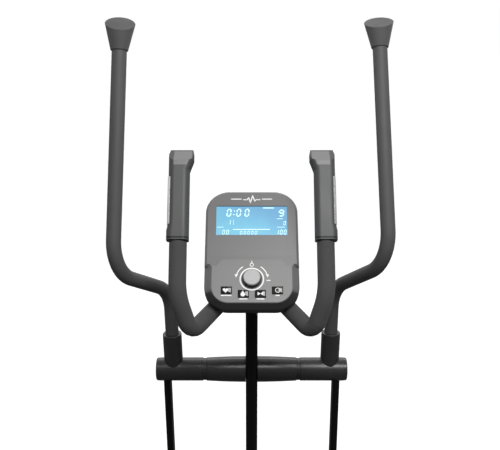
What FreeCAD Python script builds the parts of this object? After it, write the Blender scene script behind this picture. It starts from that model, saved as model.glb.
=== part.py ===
"""Rear-drive elliptical trainer, as a parametric FreeCAD document.

Millimetres, +Z up, +X to the user's right, +Y forwards. The origin is on the floor under the
middle of the machine. Every sub-part is one labelled object; its shape goes to parts/LABEL.step.
"""
import FreeCAD, Part
import math
import os
import Sketcher
from FreeCAD import Placement, Rotation, Vector

AXIS_X = Vector(1, 0, 0)
AXIS_Y = Vector(0, 1, 0)
AXIS_Z = Vector(0, 0, 1)
RIGHT = 1
LEFT = -1
SIDES = {"right": RIGHT, "left": LEFT}

doc = FreeCAD.newDocument("elliptical_trainer")
sheet = doc.addObject("Spreadsheet::Sheet", "sizes")

SIZES = [
    # floor frame
    ("clearance", 0.3), ("beam_width", 50), ("beam_height", 60), ("beam_wall", 2.5),
    ("beam_base", 30), ("tube_radius", 30), ("tube_wall", 2.5), ("tube_centre", 50),
    ("front_tube_length", 470), ("rear_tube_length", 500), ("front_tube_y", 190),
    ("rear_tube_y", -960), ("cap_length", 45), ("cap_radius", 36), ("cap_nose", 64),
    ("wheel_radius", 30), ("wheel_width", 22), ("wheel_y", 44), ("wheel_z", 37),
    ("wheel_pin_radius", 4), ("foot_radius", 22), ("foot_thickness", 9), ("stem_radius", 5),
    # mast and pivot
    ("pivot_y", 376), ("pivot_height", 850), ("mast_width", 29), ("mast_depth", 70),
    ("mast_wall", 2), ("mast_round", 13), ("mast_lean", 5), ("mast_below", 752),
    ("mast_above", 300), ("sleeve_wall", 7), ("sleeve_length", 150), ("bolt_radius", 4),
    ("axle_radius", 12.5), ("axle_half", 203), ("cross_radius", 22), ("cross_half", 111),
    ("cover_radius", 28.5), ("cover_swell", 3), ("flange_radius", 27),
    ("hub_radius", 28.5), ("hub_bore", 21), ("hub_start", 120), ("hub_end", 227),
    ("plug_face", 8), ("running_gap", 0.05),
    # swing arms
    ("socket_radius", 23), ("socket_top", 99), ("socket_x", 192.3), ("socket_round", 2.5),
    ("handle_radius", 16), ("handle_wall", 1.8), ("handle_bend", 88), ("swing_split", 2.15),
    ("lower_x", 209), ("lower_width", 17), ("lower_depth", 40), ("lower_length", 600),
    ("lower_hub_radius", 22), ("lower_pin_radius", 10), ("lower_hub_width", 22),
    ("cap_grip_radius", 18.5), ("cap_flare_radius", 32), ("cap_height", 84),
    ("cap_slant", 35), ("cap_yaw", 8), ("cap_face_height", 54),
    # fixed handlebar
    ("bar_radius", 14.3), ("bar_wall", 2), ("bar_bend", 28), ("bar_upper_bend", 105),
    ("bar_drop", 115), ("foam_radius", 19),
    ("bar_x", 157.5), ("bar_lean", 27.2), ("grip_length", 203), ("grip_width", 45),
    ("grip_depth", 42), ("grip_flare", 9), ("sensor_start", 34), ("sensor_length", 104),
    ("sensor_thickness", 1.2),
    # console
    ("console_width", 210), ("console_top", 138.5), ("console_bottom", 148),
    ("console_round", 54), ("bevel_depth", 14), ("bevel_side", 17), ("bevel_bottom", 12),
    ("shoulder_y", -50), ("console_chamfer", 5),
    ("console_tilt", 49), ("front_thickness", 22), ("back_thickness", 22), ("shell_wall", 3),
    ("panel_rise", 3), ("display_width", 161), ("display_height", 73), ("display_y", 63),
    ("lens_thickness", 2), ("module_thickness", 6), ("dial_y", -82), ("dial_radius", 19.5),
    ("dial_height", 13), ("button_width", 23.4), ("button_height", 17.4), ("button_rise", 1.6),
    # drive
    ("crank_y", -840), ("crank_z", 280), ("crank_radius", 160), ("crank_tilt", 9.8),
    ("crank_axle_radius", 10), ("crank_start", 86), ("crank_thickness", 18),
    ("crank_pin_radius", 12), ("crank_pin_length", 14), ("pulley_radius", 119.7),
    ("pulley_start", 30), ("pulley_width", 18), ("belt_thickness", 3), ("belt_width", 14),
    ("flywheel_ahead", 255), ("flywheel_z", 250), ("flywheel_radius", 128),
    ("flywheel_pulley_radius", 27.7), ("flywheel_shaft_radius", 8.5), ("housing_half", 68),
    ("housing_rear_radius", 165), ("housing_front_radius", 150), ("housing_wall", 3),
    ("bracket_half", 24.5), ("bracket_plate", 5), ("bracket_top", 330),
    # pedals
    ("pedal_arm_length", 906.5), ("pedal_arm_x", 160), ("pedal_tube_width", 30),
    ("pedal_tube_height", 50), ("pedal_hub_radius", 24), ("footplate_width", 140),
    ("footplate_length", 350), ("footplate_x", 17), ("footplate_ahead", 380),
    ("footplate_base", 5), ("footplate_rim", 14), ("footplate_round", 35),
]

for row, (alias, number) in enumerate(SIZES, start=1):
    sheet.set(f"A{row}", alias)
    sheet.set(f"B{row}", str(number))
    sheet.setAlias(f"B{row}", alias)
doc.recompute()


# ---------------------------------------------------------------- helpers

def size(alias):
    """A driving dimension, read from the sheet."""
    return float(getattr(sheet, alias))


def value(text):
    """The number that an expression on the sheet gives."""
    return float(sheet.evalExpression(text))


def bind(item, **texts):
    """Tie properties of an object to expressions on the sheet."""
    for name, text in texts.items():
        item.setExpression(name, text)
    return item


def new_body(label, placement=None):
    body = doc.addObject("PartDesign::Body", label)
    body.Label = label
    if placement is not None:
        body.Placement = placement
    return body


def new_sketch(body, role, offset=0):
    """A sketch on one of the body's own origin planes, moved along that plane's normal."""
    plane = [item for item in body.Origin.OriginFeatures if item.Role == role][0]
    sketch = body.newObject("Sketcher::SketchObject", f"{body.Name}_sketch")
    sketch.AttachmentSupport = [(plane, "")]
    sketch.MapMode = "FlatFace"
    sketch.AttachmentOffset = Placement(Vector(0, 0, offset), Rotation())
    return sketch


def dimension(sketch, kind, *geometry, text):
    """A driving sketch dimension, bound to an expression."""
    index = sketch.addConstraint(Sketcher.Constraint(kind, *geometry, value(text)))
    sketch.setExpression(f"Constraints[{index}]", text)


def circle(sketch, across, up, radius):
    """A circle placed and sized by three expressions."""
    centre = Vector(value(across), value(up), 0)
    item = sketch.addGeometry(Part.Circle(centre, AXIS_Z, value(radius)), False)
    dimension(sketch, "Radius", item, text=radius)
    dimension(sketch, "DistanceX", -1, 1, item, 3, text=across)
    dimension(sketch, "DistanceY", -1, 1, item, 3, text=up)
    return item


def outline(sketch, points):
    """A closed straight-sided outline; each corner is a pair of expressions."""
    corners = [Vector(value(across), value(up), 0) for across, up in points]
    count = len(corners)
    first = sketch.GeometryCount
    for index in range(count):
        line = Part.LineSegment(corners[index], corners[(index + 1) % count])
        sketch.addGeometry(line, False)
    for index, (across, up) in enumerate(points):
        here = first + index
        following = first + (index + 1) % count
        sketch.addConstraint(Sketcher.Constraint("Coincident", here, 2, following, 1))
        dimension(sketch, "DistanceX", -1, 1, here, 1, text=across)
        dimension(sketch, "DistanceY", -1, 1, here, 1, text=up)


def rectangle(sketch, across, up, width, height):
    """A rectangle about a centre, all four given as expressions."""
    west = f"({across}) - ({width}) / 2"
    east = f"({across}) + ({width}) / 2"
    south = f"({up}) - ({height}) / 2"
    north = f"({up}) + ({height}) / 2"
    outline(sketch, [(west, south), (east, south), (east, north), (west, north)])


def curve_loop(sketch, pieces):
    """A closed loop of lines and arcs whose ends already meet."""
    first = sketch.GeometryCount
    heads = []
    for index, piece in enumerate(pieces, start=first):
        sketch.addGeometry(piece, False)
        begin = piece.value(piece.FirstParameter)
        forwards = sketch.getPoint(index, 1).distanceToPoint(begin) < 1e-6
        heads.append(1 if forwards else 2)
    count = len(pieces)
    for index in range(count):
        after = (index + 1) % count
        tail = 3 - heads[index]
        joint = ("Coincident", first + index, tail, first + after, heads[after])
        sketch.addConstraint(Sketcher.Constraint(*joint))


def pad(body, sketch, length, reverse=False, symmetric=False):
    feature = body.newObject("PartDesign::Pad", f"{body.Name}_pad")
    feature.Profile = sketch
    feature.Reversed = reverse
    if symmetric:
        feature.SideType = "Symmetric"
    bind(feature, Length=length)
    sketch.Visibility = False
    doc.recompute()
    return feature


def pocket(body, sketch, length, reverse=False, symmetric=False):
    """A pocket against the sketch's normal unless reversed, refused if it takes nothing away."""
    before = body.Shape.Volume
    feature = body.newObject("PartDesign::Pocket", f"{body.Name}_pocket")
    feature.Profile = sketch
    feature.Reversed = reverse
    if symmetric:
        feature.SideType = "Symmetric"
    bind(feature, Length=length)
    doc.recompute()
    if not feature.Shape.Volume < before - 1e-3:
        raise RuntimeError(f"{feature.Label} cuts nothing")
    return feature


def revolve(body, sketch, axis):
    feature = body.newObject("PartDesign::Revolution", f"{body.Name}_revolution")
    feature.Profile = sketch
    feature.ReferenceAxis = (sketch, [axis])
    feature.Angle = 360
    doc.recompute()
    return feature


def edge_names(shape, wanted):
    return [f"Edge{index}" for index, edge in enumerate(shape.Edges, start=1) if wanted(edge)]


def loft(body, first, last):
    """A straight-sided solid between two sketches."""
    feature = body.newObject("PartDesign::AdditiveLoft", f"{body.Name}_loft")
    feature.Profile = first
    feature.Sections = [last]
    feature.Ruled = True
    doc.recompute()
    return feature


def round_edges(body, radius, wanted, kind="Fillet"):
    """Fillet or chamfer the edges of the body's tip that the test picks."""
    tip = body.Tip
    names = edge_names(tip.Shape, wanted)
    if not names:
        raise RuntimeError(f"{body.Label} has no edge to round")
    feature = body.newObject(f"PartDesign::{kind}", f"{body.Name}_{kind.lower()}")
    feature.Base = (tip, names)
    bind(feature, **{"Radius" if kind == "Fillet" else "Size": radius})
    doc.recompute()
    return feature


def is_along(axis):
    """Test for straight edges that run along an axis."""
    def test(edge):
        if not isinstance(edge.Curve, (Part.Line, Part.LineSegment)):
            return False
        run = edge.Vertexes[-1].Point - edge.Vertexes[0].Point
        return run.Length > 0 and abs(run.normalize().dot(axis)) > 0.999
    return test


def is_at(axis, level):
    """Test for edges that lie wholly at one level along an axis."""
    def test(edge):
        box = edge.BoundBox
        low = Vector(box.XMin, box.YMin, box.ZMin).dot(axis)
        high = Vector(box.XMax, box.YMax, box.ZMax).dot(axis)
        return abs(low - level) < 0.01 and abs(high - level) < 0.01
    return test


def cylinder(label, radius, length, placement):
    item = doc.addObject("Part::Cylinder", label)
    item.Label = label
    item.Placement = placement
    return bind(item, Radius=radius, Height=length)


def block(label, length, width, height, placement):
    item = doc.addObject("Part::Box", label)
    item.Label = label
    item.Placement = placement
    return bind(item, Length=length, Width=width, Height=height)


def cut(label, base, *tools):
    """Base less every tool, in one labelled object."""
    result = base
    for index, tool in enumerate(tools, start=1):
        last = index == len(tools)
        name = label if last else f"{label}_step{index}"
        step = doc.addObject("Part::Cut", name)
        step.Label = name
        step.Base = result
        step.Tool = tool
        result = step
    doc.recompute()
    return result


def join(label, *items):
    result = doc.addObject("Part::MultiFuse", label)
    result.Label = label
    result.Shapes = list(items)
    doc.recompute()
    return result


def group(label, *items):
    """Several like pieces kept as separate solids under one label."""
    result = doc.addObject("Part::Compound", label)
    result.Label = label
    result.Links = list(items)
    doc.recompute()
    return result


def lying_along_x(origin):
    """A placement whose Z axis points along +X."""
    return Placement(origin, Rotation(AXIS_Y, 90))


def bent_path(points, radii):
    """Straight runs through the points, joined by tangent arcs, one radius for each corner."""
    edges = []
    start = points[0]
    for before, corner, after, radius in zip(points, points[1:], points[2:], radii):
        inward = (before - corner).normalize()
        outward = (after - corner).normalize()
        half = inward.getAngle(outward) / 2
        first = corner + inward * (radius / math.tan(half))
        last = corner + outward * (radius / math.tan(half))
        bisector = (inward + outward).normalize()
        middle = corner + bisector * (radius / math.sin(half) - radius)
        edges.append(Part.LineSegment(start, first).toShape())
        edges.append(Part.Arc(first, middle, last).toShape())
        start = last
    edges.append(Part.LineSegment(start, points[-1]).toShape())
    return Part.Wire(edges)


def swept(path, radius):
    """A solid round bar along a path."""
    edge = path.Edges[0]
    start = edge.valueAt(edge.FirstParameter)
    ring = Part.Wire(Part.makeCircle(radius, start, edge.tangentAt(edge.FirstParameter)))
    return path.makePipeShell([ring], True, False)


def swept_tube(path, outer, inner):
    return swept(path, outer).cut(swept(path, inner))


def feature(label, shape, placement):
    item = doc.addObject("Part::Feature", label)
    item.Label = label
    item.Shape = shape
    item.Placement = placement
    return item


# ---------------------------------------------------------------- shared places

PIVOT = Vector(0, size("pivot_y"), size("pivot_height"))
MAST_PLACE = Placement(PIVOT, Rotation(AXIS_X, size("mast_lean")))
CRANK_CENTRE = Vector(0, PIVOT.y + size("crank_y"), size("crank_z"))
FLYWHEEL_CENTRE = Vector(0, CRANK_CENTRE.y + size("flywheel_ahead"), size("flywheel_z"))
CONSOLE_PLACE = Placement(PIVOT + Vector(0, -95.6, 348), Rotation(AXIS_X, size("console_tilt")))


def swing_place(side):
    """The swing arms stand a little apart: the left handle nearer the user, the right farther."""
    return Placement(PIVOT, Rotation(AXIS_X, -side * size("swing_split")))


def lower_place(side):
    return swing_place(side).multiply(Placement(Vector(), Rotation(AXIS_X, size("mast_lean"))))


def pedal_pivot(side):
    """Where the swing arm carries the front of the pedal arm."""
    end = lower_place(side).multVec(Vector(0, 0, -size("lower_length")))
    return Vector(side * size("pedal_arm_x"), end.y, end.z)


def crank_pin(side):
    """The left crank stands up and the right one hangs down."""
    reach = Rotation(AXIS_X, -size("crank_tilt")).multVec(Vector(0, 0, size("crank_radius")))
    return CRANK_CENTRE - reach * side


def pedal_place(side):
    front = pedal_pivot(side)
    rear = crank_pin(side)
    slope = math.degrees(math.atan2(front.z - rear.z, front.y - rear.y))
    return Placement(front, Rotation(AXIS_X, slope))


# ---------------------------------------------------------------- floor frame

def make_main_beam():
    """Box beam between the stabilisers, its ends saddled to their tubes."""
    body = new_body("main_beam", Placement(Vector(0, PIVOT.y, 0), Rotation()))
    front = size("front_tube_y")
    rear = size("rear_tube_y")
    section = new_sketch(body, "XZ_Plane", -front)
    middle = "sizes.beam_base + sizes.beam_height / 2"
    rectangle(section, "0", middle, "sizes.beam_width", "sizes.beam_height")
    rectangle(section, "0", middle, "sizes.beam_width - 2 * sizes.beam_wall",
              "sizes.beam_height - 2 * sizes.beam_wall")
    pad(body, section, "sizes.front_tube_y - sizes.rear_tube_y")
    for centre in (front, rear):
        saddle = new_sketch(body, "YZ_Plane")
        circle(saddle, str(centre), "sizes.tube_centre", "sizes.tube_radius + 0.2")
        pocket(body, saddle, "sizes.beam_width + 10", symmetric=True)
    trim = new_sketch(body, "YZ_Plane")
    for centre, way in ((front, 1), (rear, -1)):
        rectangle(trim, str(centre + way * 10), "sizes.tube_centre", "60", "140")
    pocket(body, trim, "sizes.beam_width + 10", symmetric=True)


def make_stabiliser(label, along, length):
    body = new_body(label, Placement(Vector(0, PIVOT.y + size(along), size("tube_centre")),
                                     Rotation()))
    section = new_sketch(body, "YZ_Plane")
    circle(section, "0", "0", "sizes.tube_radius")
    circle(section, "0", "0", "sizes.tube_radius - sizes.tube_wall")
    pad(body, section, f"sizes.{length}", symmetric=True)


def cap_body(label, side, along, length, base, nose):
    """A moulded end foot: round-topped block with a spigot that enters the tube."""
    start = side * size(length) / 2
    body = new_body(label, Placement(Vector(0, PIVOT.y + size(along), 0), Rotation()))
    face = new_sketch(body, "YZ_Plane", start)
    radius = size("cap_radius")
    height = size("tube_centre")
    corners = [(-radius, base), (radius, base), (radius, height)]
    if nose > radius:
        corners = [(-radius, base), (nose, base), (nose, height), (radius, height)]
    corners = [Vector(along, up, 0) for along, up in corners]
    back = Vector(-radius, height, 0)
    sides = [Part.LineSegment(here, there) for here, there in zip(corners, corners[1:])]
    crown = Part.Arc(corners[-1], Vector(0, height + radius, 0), back)
    curve_loop(face, [*sides, crown, Part.LineSegment(back, corners[0])])
    pad(body, face, "sizes.cap_length", reverse=side < 0)
    round_edges(body, "8", is_at(AXIS_X, start + side * size("cap_length")))
    spigot = new_sketch(body, "YZ_Plane", start)
    circle(spigot, "0", "sizes.tube_centre", "sizes.tube_radius - sizes.tube_wall - 0.2")
    pad(body, spigot, "30", reverse=side > 0)
    return body


def make_front_caps():
    """Front feet, each forked for a transport wheel and its pin."""
    feet = []
    for name, side in SIDES.items():
        body = cap_body(f"front_foot_{name}", side, "front_tube_y", "front_tube_length", 0,
                        size("cap_nose"))
        start = size("front_tube_length") / 2
        middle = side * (start + size("cap_length") / 2)
        slot = new_sketch(body, "XZ_Plane", -100)
        rectangle(slot, str(middle), "sizes.wheel_z", "sizes.wheel_width + 2", "90")
        pocket(body, slot, "100 - sizes.wheel_y + sizes.wheel_radius + 2", reverse=True)
        pin = new_sketch(body, "YZ_Plane", side * (start + 2))
        circle(pin, "sizes.wheel_y", "sizes.wheel_z", "sizes.wheel_pin_radius")
        pad(body, pin, "sizes.cap_length - 4", reverse=side < 0)
        feet.append(body)
    group("front_end_caps", *feet)


def make_rear_caps():
    """Rear feet, each bored from below for a levelling foot."""
    feet = []
    for name, side in SIDES.items():
        body = cap_body(f"rear_foot_{name}", side, "rear_tube_y", "rear_tube_length",
                        size("foot_thickness") + 2, 0)
        middle = side * (size("rear_tube_length") + size("cap_length")) / 2
        bore = new_sketch(body, "XY_Plane")
        circle(bore, str(middle), "0", "sizes.stem_radius + sizes.running_gap")
        pocket(body, bore, "sizes.tube_centre", reverse=True)
        feet.append(body)
    group("rear_end_caps", *feet)


def make_transport_wheel(name, side):
    middle = side * (size("front_tube_length") + size("cap_length")) / 2
    place = Vector(middle, PIVOT.y + size("front_tube_y") + size("wheel_y"), size("wheel_z"))
    body = new_body(f"transport_wheel_{name}", Placement(place, Rotation()))
    disc = new_sketch(body, "YZ_Plane")
    circle(disc, "0", "0", "sizes.wheel_radius")
    circle(disc, "0", "0", "sizes.wheel_pin_radius + sizes.running_gap")
    pad(body, disc, "sizes.wheel_width", symmetric=True)
    rim = size("wheel_radius")
    round_edges(body, "3", lambda edge: edge.BoundBox.YLength > 2 * rim - 1)


def make_leveller(name, side):
    middle = side * (size("rear_tube_length") + size("cap_length")) / 2
    place = Vector(middle, PIVOT.y + size("rear_tube_y"), 0)
    body = new_body(f"leveller_{name}", Placement(place, Rotation()))
    profile = new_sketch(body, "XZ_Plane")
    outline(profile, [
        ("0", "0"), ("sizes.foot_radius - 2", "0"), ("sizes.foot_radius", "2"),
        ("sizes.foot_radius", "sizes.foot_thickness - 2"),
        ("sizes.foot_radius - 4", "sizes.foot_thickness"),
        ("sizes.stem_radius", "sizes.foot_thickness"),
        ("sizes.stem_radius", "sizes.tube_centre - 6"), ("0", "sizes.tube_centre - 6")])
    revolve(body, profile, "V_Axis")


# ---------------------------------------------------------------- mast

def bolt_heights():
    """Heights of the mast bolts, measured along the mast from the pivot."""
    low = -size("mast_below") + 40
    return (low, low + 70)


def make_mast():
    """Flat oval tube that leans towards the user and carries pivot, bar and console."""
    body = new_body("mast", MAST_PLACE)
    section = new_sketch(body, "XY_Plane", -size("mast_below"))
    rectangle(section, "0", "0", "sizes.mast_width", "sizes.mast_depth")
    pad(body, section, "sizes.mast_below + sizes.mast_above")
    round_edges(body, "sizes.mast_round", is_along(AXIS_Z))
    hollow = new_sketch(body, "XY_Plane", -size("mast_below"))
    rectangle(hollow, "0", "0", "sizes.mast_width - 2 * sizes.mast_wall",
                  "sizes.mast_depth - 2 * sizes.mast_wall - 16")
    pocket(body, hollow, "sizes.mast_below + sizes.mast_above", reverse=True)
    holes = new_sketch(body, "YZ_Plane")
    circle(holes, "0", "0", "sizes.cross_radius + 0.1")
    for height in bolt_heights():
        circle(holes, "0", str(height), "sizes.bolt_radius + 0.1")
    pocket(body, holes, "sizes.mast_width + 4", symmetric=True)


def make_mast_foot():
    """Welded sleeve on the beam that the mast is bolted into."""
    body = new_body("mast_foot_blank", MAST_PLACE)
    start = -size("mast_below") - 20
    section = new_sketch(body, "XY_Plane", start)
    rectangle(section, "0", "0", "sizes.mast_width + 2 * sizes.sleeve_wall",
                  "sizes.mast_depth + 2 * sizes.sleeve_wall")
    pad(body, section, "sizes.sleeve_length + 20")
    round_edges(body, "sizes.mast_round + sizes.sleeve_wall", is_along(AXIS_Z))
    hollow = new_sketch(body, "XY_Plane", start)
    rectangle(hollow, "0", "0", "sizes.mast_width + 0.3", "sizes.mast_depth + 0.3")
    pocket(body, hollow, "sizes.sleeve_length + 20", reverse=True)
    holes = new_sketch(body, "YZ_Plane")
    for height in bolt_heights():
        circle(holes, "0", str(height), "sizes.bolt_radius + 0.1")
    pocket(body, holes, "sizes.mast_width + 4 * sizes.sleeve_wall", symmetric=True)
    corner = Vector(-100, PIVOT.y - 150, size("beam_base") + size("beam_height") - 200)
    floor = block("mast_foot_trim", "200", "400", "200.1", Placement(corner, Rotation()))
    cut("mast_foot", body, floor)


def make_frame_bolts():
    """Two through bolts with hexagon heads, washers and nuts."""
    pieces = []
    face = size("mast_width") / 2 + size("sleeve_wall") + 0.1
    for index, height in enumerate(bolt_heights()):
        axis = MAST_PLACE.multVec(Vector(-face - 10, 0, height))
        shank = cylinder(f"bolt_shank_{index}", "sizes.bolt_radius", str(2 * face + 18),
                         lying_along_x(axis))
        parts = [shank]
        for offset, thick in ((-face - 7.5, 6), (face + 1.5, 6)):
            head = doc.addObject("Part::Prism", f"bolt_hex_{index}")
            bind(head, Circumradius="sizes.bolt_radius * 1.9", Height=str(thick))
            head.Placement = lying_along_x(MAST_PLACE.multVec(Vector(offset, 0, height)))
            parts.append(head)
        for offset in (-face - 1.6, face):
            place = lying_along_x(MAST_PLACE.multVec(Vector(offset, 0, height)))
            parts.append(cylinder(f"bolt_washer_{index}", "sizes.bolt_radius * 2.2", "1.6", place))
        pieces.append(join(f"mast_bolt_{index}", *parts))
    group("frame_bolts", *pieces)


# ---------------------------------------------------------------- pivot across the mast

def make_cross_tube():
    body = new_body("cross_tube", Placement(PIVOT, Rotation()))
    section = new_sketch(body, "YZ_Plane")
    circle(section, "0", "0", "sizes.cross_radius")
    circle(section, "0", "0", "sizes.axle_radius + 0.1")
    pad(body, section, "2 * sizes.cross_half", symmetric=True)


def make_pivot_axle():
    place = lying_along_x(PIVOT - AXIS_X * size("axle_half"))
    cylinder("pivot_axle", "sizes.axle_radius", "2 * sizes.axle_half", place)


def make_pivot_cover(name, side):
    """Barrel-shaped cover half, thickest against the mast."""
    body = new_body(f"pivot_cover_{name}", Placement(PIVOT, Rotation()))
    start = side * (size("mast_width") / 2 + 0.3)
    end = side * (size("cross_half") - 0.3)
    radius = size("cover_radius")
    swell = radius + size("cover_swell")
    inner = size("cross_radius") + 0.3
    profile = new_sketch(body, "XZ_Plane")
    shoulder = radius + size("cover_swell") * 0.72
    curve_loop(profile, [
        Part.LineSegment(Vector(start, inner, 0), Vector(start, swell, 0)),
        Part.Arc(Vector(start, swell, 0), Vector((start + end) / 2, shoulder, 0),
                 Vector(end, radius, 0)),
        Part.LineSegment(Vector(end, radius, 0), Vector(end, inner, 0)),
        Part.LineSegment(Vector(end, inner, 0), Vector(start, inner, 0)),
    ])
    revolve(body, profile, "H_Axis")


# ---------------------------------------------------------------- swing arms

def make_pivot_bush(name, side):
    """Flanged bush between axle and hub; its flange fills the groove beside the cover."""
    body = new_body(f"pivot_bush_{name}", swing_place(side))
    profile = new_sketch(body, "XZ_Plane")
    sign = "" if side > 0 else "-1 * "
    inner = "sizes.axle_radius + sizes.running_gap"
    face = f"{sign}(sizes.cross_half + 0.3)"
    step = f"{sign}(sizes.hub_start - 0.1)"
    end = f"{sign}(sizes.axle_half - 3)"
    outline(profile, [
        (face, inner), (face, "sizes.flange_radius"), (step, "sizes.flange_radius"),
        (step, "sizes.hub_bore - 0.05"), (end, "sizes.hub_bore - 0.05"), (end, inner)])
    revolve(body, profile, "H_Axis")


def make_swing_hub(name, side):
    """Pivot sleeve with the welded socket that the handle tube is clamped in."""
    place = swing_place(side)
    first = size("hub_start") if side > 0 else -size("hub_end")
    sleeve = cylinder(f"hub_sleeve_{name}", "sizes.hub_radius", "sizes.hub_end - sizes.hub_start",
                      place.multiply(lying_along_x(Vector(first, 0, 0))))
    lean = place.multiply(socket_place(side))
    socket = new_body(f"hub_socket_{name}", lean)
    disc = new_sketch(socket, "XY_Plane")
    circle(disc, "0", "0", "sizes.socket_radius")
    pad(socket, disc, "sizes.socket_top")
    round_edges(socket, "sizes.socket_round", is_at(AXIS_Z, size("socket_top")))
    whole = join(f"hub_blank_{name}", sleeve, socket)
    bore = cylinder(f"hub_bore_{name}", "sizes.hub_bore", "sizes.hub_end - sizes.hub_start + 2",
                    place.multiply(lying_along_x(Vector(first - 1, 0, 0))))
    seat = lean.multiply(Placement(Vector(0, 0, size("hub_radius") + 3), Rotation()))
    hole = cylinder(f"hub_seat_{name}", "sizes.handle_radius + 0.1", "sizes.socket_top", seat)
    cut(f"swing_hub_{name}", whole, bore, hole)


def socket_place(side):
    """The socket's axis, from the pivot axis towards the handle's first bend."""
    points = handle_points(side)
    return Placement(points[0], Rotation(AXIS_Z, points[1] - points[0]))


def handle_points(side):
    """Handle tube corners in the swing arm's own frame: socket, two bends, cap."""
    corners = [(size("socket_x"), 0, 0), (195.7, -8.6, 213.3), (294.2, -190.7, 326.6),
               (279.5, -53.7, 777.6)]
    return [Vector(side * across, along, up) for across, along, up in corners]


def make_hub_plug(name, side):
    body = new_body(f"hub_plug_{name}", swing_place(side))
    sign = "" if side > 0 else "-1 * "
    inside = f"{sign}(sizes.axle_half + 2)"
    step = f"{sign}(sizes.hub_end + 0.1)"
    edge = f"{sign}(sizes.hub_end + sizes.plug_face - 2.5)"
    face = f"{sign}(sizes.hub_end + sizes.plug_face)"
    profile = new_sketch(body, "XZ_Plane")
    outline(profile, [
        (inside, "0"), (inside, "sizes.hub_bore - 0.1"), (step, "sizes.hub_bore - 0.1"),
        (step, "sizes.hub_radius - 0.4"), (edge, "sizes.hub_radius - 0.4"),
        (face, "sizes.hub_radius - 3"), (face, "0")])
    revolve(body, profile, "H_Axis")


def make_lower_arm(name, side):
    """Flat tube below the hub, with a cross boss and the stub shaft for the pedal arm."""
    body = new_body(f"lower_arm_{name}", lower_place(side))
    across = f"{side} * sizes.lower_x"
    length = size("lower_length")
    section = new_sketch(body, "XY_Plane", -length)
    rectangle(section, across, "0", "sizes.lower_width", "sizes.lower_depth")
    pad(body, section, "sizes.lower_length - 15")
    round_edges(body, "6", is_along(AXIS_Z))
    hollow = new_sketch(body, "XY_Plane", -length)
    rectangle(hollow, across, "0", "sizes.lower_width - 5", "sizes.lower_depth - 8")
    pocket(body, hollow, "sizes.lower_length - 15", reverse=True)
    saddle = new_sketch(body, "YZ_Plane")
    circle(saddle, "0", "0", "sizes.hub_radius + 0.1")
    pocket(body, saddle, "600", symmetric=True)
    boss_start = side * (size("lower_x") + size("lower_hub_width") / 2)
    boss = new_sketch(body, "YZ_Plane", boss_start)
    circle(boss, "0", "-1 * sizes.lower_length", "sizes.lower_hub_radius")
    pad(body, boss, "sizes.lower_hub_width", reverse=side > 0)
    stub = new_sketch(body, "YZ_Plane", boss_start)
    circle(stub, "0", "-1 * sizes.lower_length", "sizes.lower_pin_radius")
    pad(body, stub, "sizes.lower_x + sizes.lower_hub_width / 2 - sizes.pedal_arm_x + 10",
        reverse=side > 0)


def make_handle(name, side):
    """Moving handle: one tube with two wide bends, from the socket up into its cap."""
    points = handle_points(side)
    along = (points[1] - points[0]).normalize()
    points[0] = points[0] + along * (size("hub_radius") + 4)
    up = (points[3] - points[2]).normalize()
    points[3] = points[3] + up * 30
    path = bent_path(points, 2 * [size("handle_bend")])
    outer = size("handle_radius")
    tube = swept_tube(path, outer, outer - size("handle_wall"))
    feature(f"handle_{name}", tube, swing_place(side))


def make_handle_cap(name, side):
    """Flared rubber cap, cut on a slant that faces the user."""
    points = handle_points(side)
    turn = Rotation(AXIS_Z, points[3] - points[2])
    place = swing_place(side).multiply(Placement(points[3], turn))
    body = new_body(f"handle_cap_{name}", place)
    profile = new_sketch(body, "XZ_Plane")
    bore = "sizes.handle_radius + 0.1"
    outline(profile, [
        (bore, "-2"), ("sizes.cap_grip_radius", "-2"),
        ("sizes.cap_flare_radius", "sizes.cap_face_height"),
        ("sizes.cap_flare_radius", "sizes.cap_height"), ("0", "sizes.cap_height"),
        ("0", "31"), (bore, "31")])
    revolve(body, profile, "V_Axis")
    slant = math.radians(size("cap_slant"))
    reach = 70
    run = reach * math.cos(slant)
    rise = reach * math.sin(slant)
    middle = size("cap_face_height")
    above = middle + 150
    face = new_sketch(body, "YZ_Plane")
    face.AttachmentOffset = Placement(Vector(), Rotation(AXIS_Y, -side * size("cap_yaw")))
    outline(face, [
        (str(-run), str(middle - rise)), (str(run), str(middle + rise)),
        (str(run), str(above)), (str(-run), str(above))])
    pocket(body, face, "160", symmetric=True)


# ---------------------------------------------------------------- fixed handlebar

def bar_top():
    lean = math.radians(size("bar_lean"))
    reach = Vector(0, math.sin(lean), math.cos(lean))
    return grip_start() + reach * size("grip_length")


def grip_start():
    """Lower end of the pulse grip on the right side, in the pivot's frame."""
    return Vector(size("bar_x"), -169, 380)


def bar_points():
    """Right half of the fixed bar: mast side, lower corner, upper corner, top."""
    lean = math.radians(size("bar_lean"))
    upper = grip_start() - Vector(0, math.sin(lean), math.cos(lean)) * size("bar_drop")
    return [Vector(4, -10, 256), Vector(131.1, -220.5, 188.9), upper, bar_top()]


def bar_path(points):
    return bent_path(points, [size("bar_bend"), size("bar_upper_bend")])


def mirrored(points, side):
    return [Vector(side * point.x, point.y, point.z) for point in points]


def make_fixed_bar(name, side):
    path = bar_path(mirrored(bar_points(), side))
    outer = size("bar_radius")
    tube = swept_tube(path, outer, outer - size("bar_wall"))
    reach = size("mast_width") / 2 + 0.2
    trim = Part.makeBox(2 * reach, 200, 200, Vector(-reach, -100, 150))
    top = bar_top()
    up = (top - grip_start()).normalize()
    shorten = Part.makeCylinder(60, 60, Vector(side * top.x, top.y, top.z) - up * 27, up)
    feature(f"fixed_bar_{name}", tube.cut(trim).cut(shorten), Placement(PIVOT, Rotation()))


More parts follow.
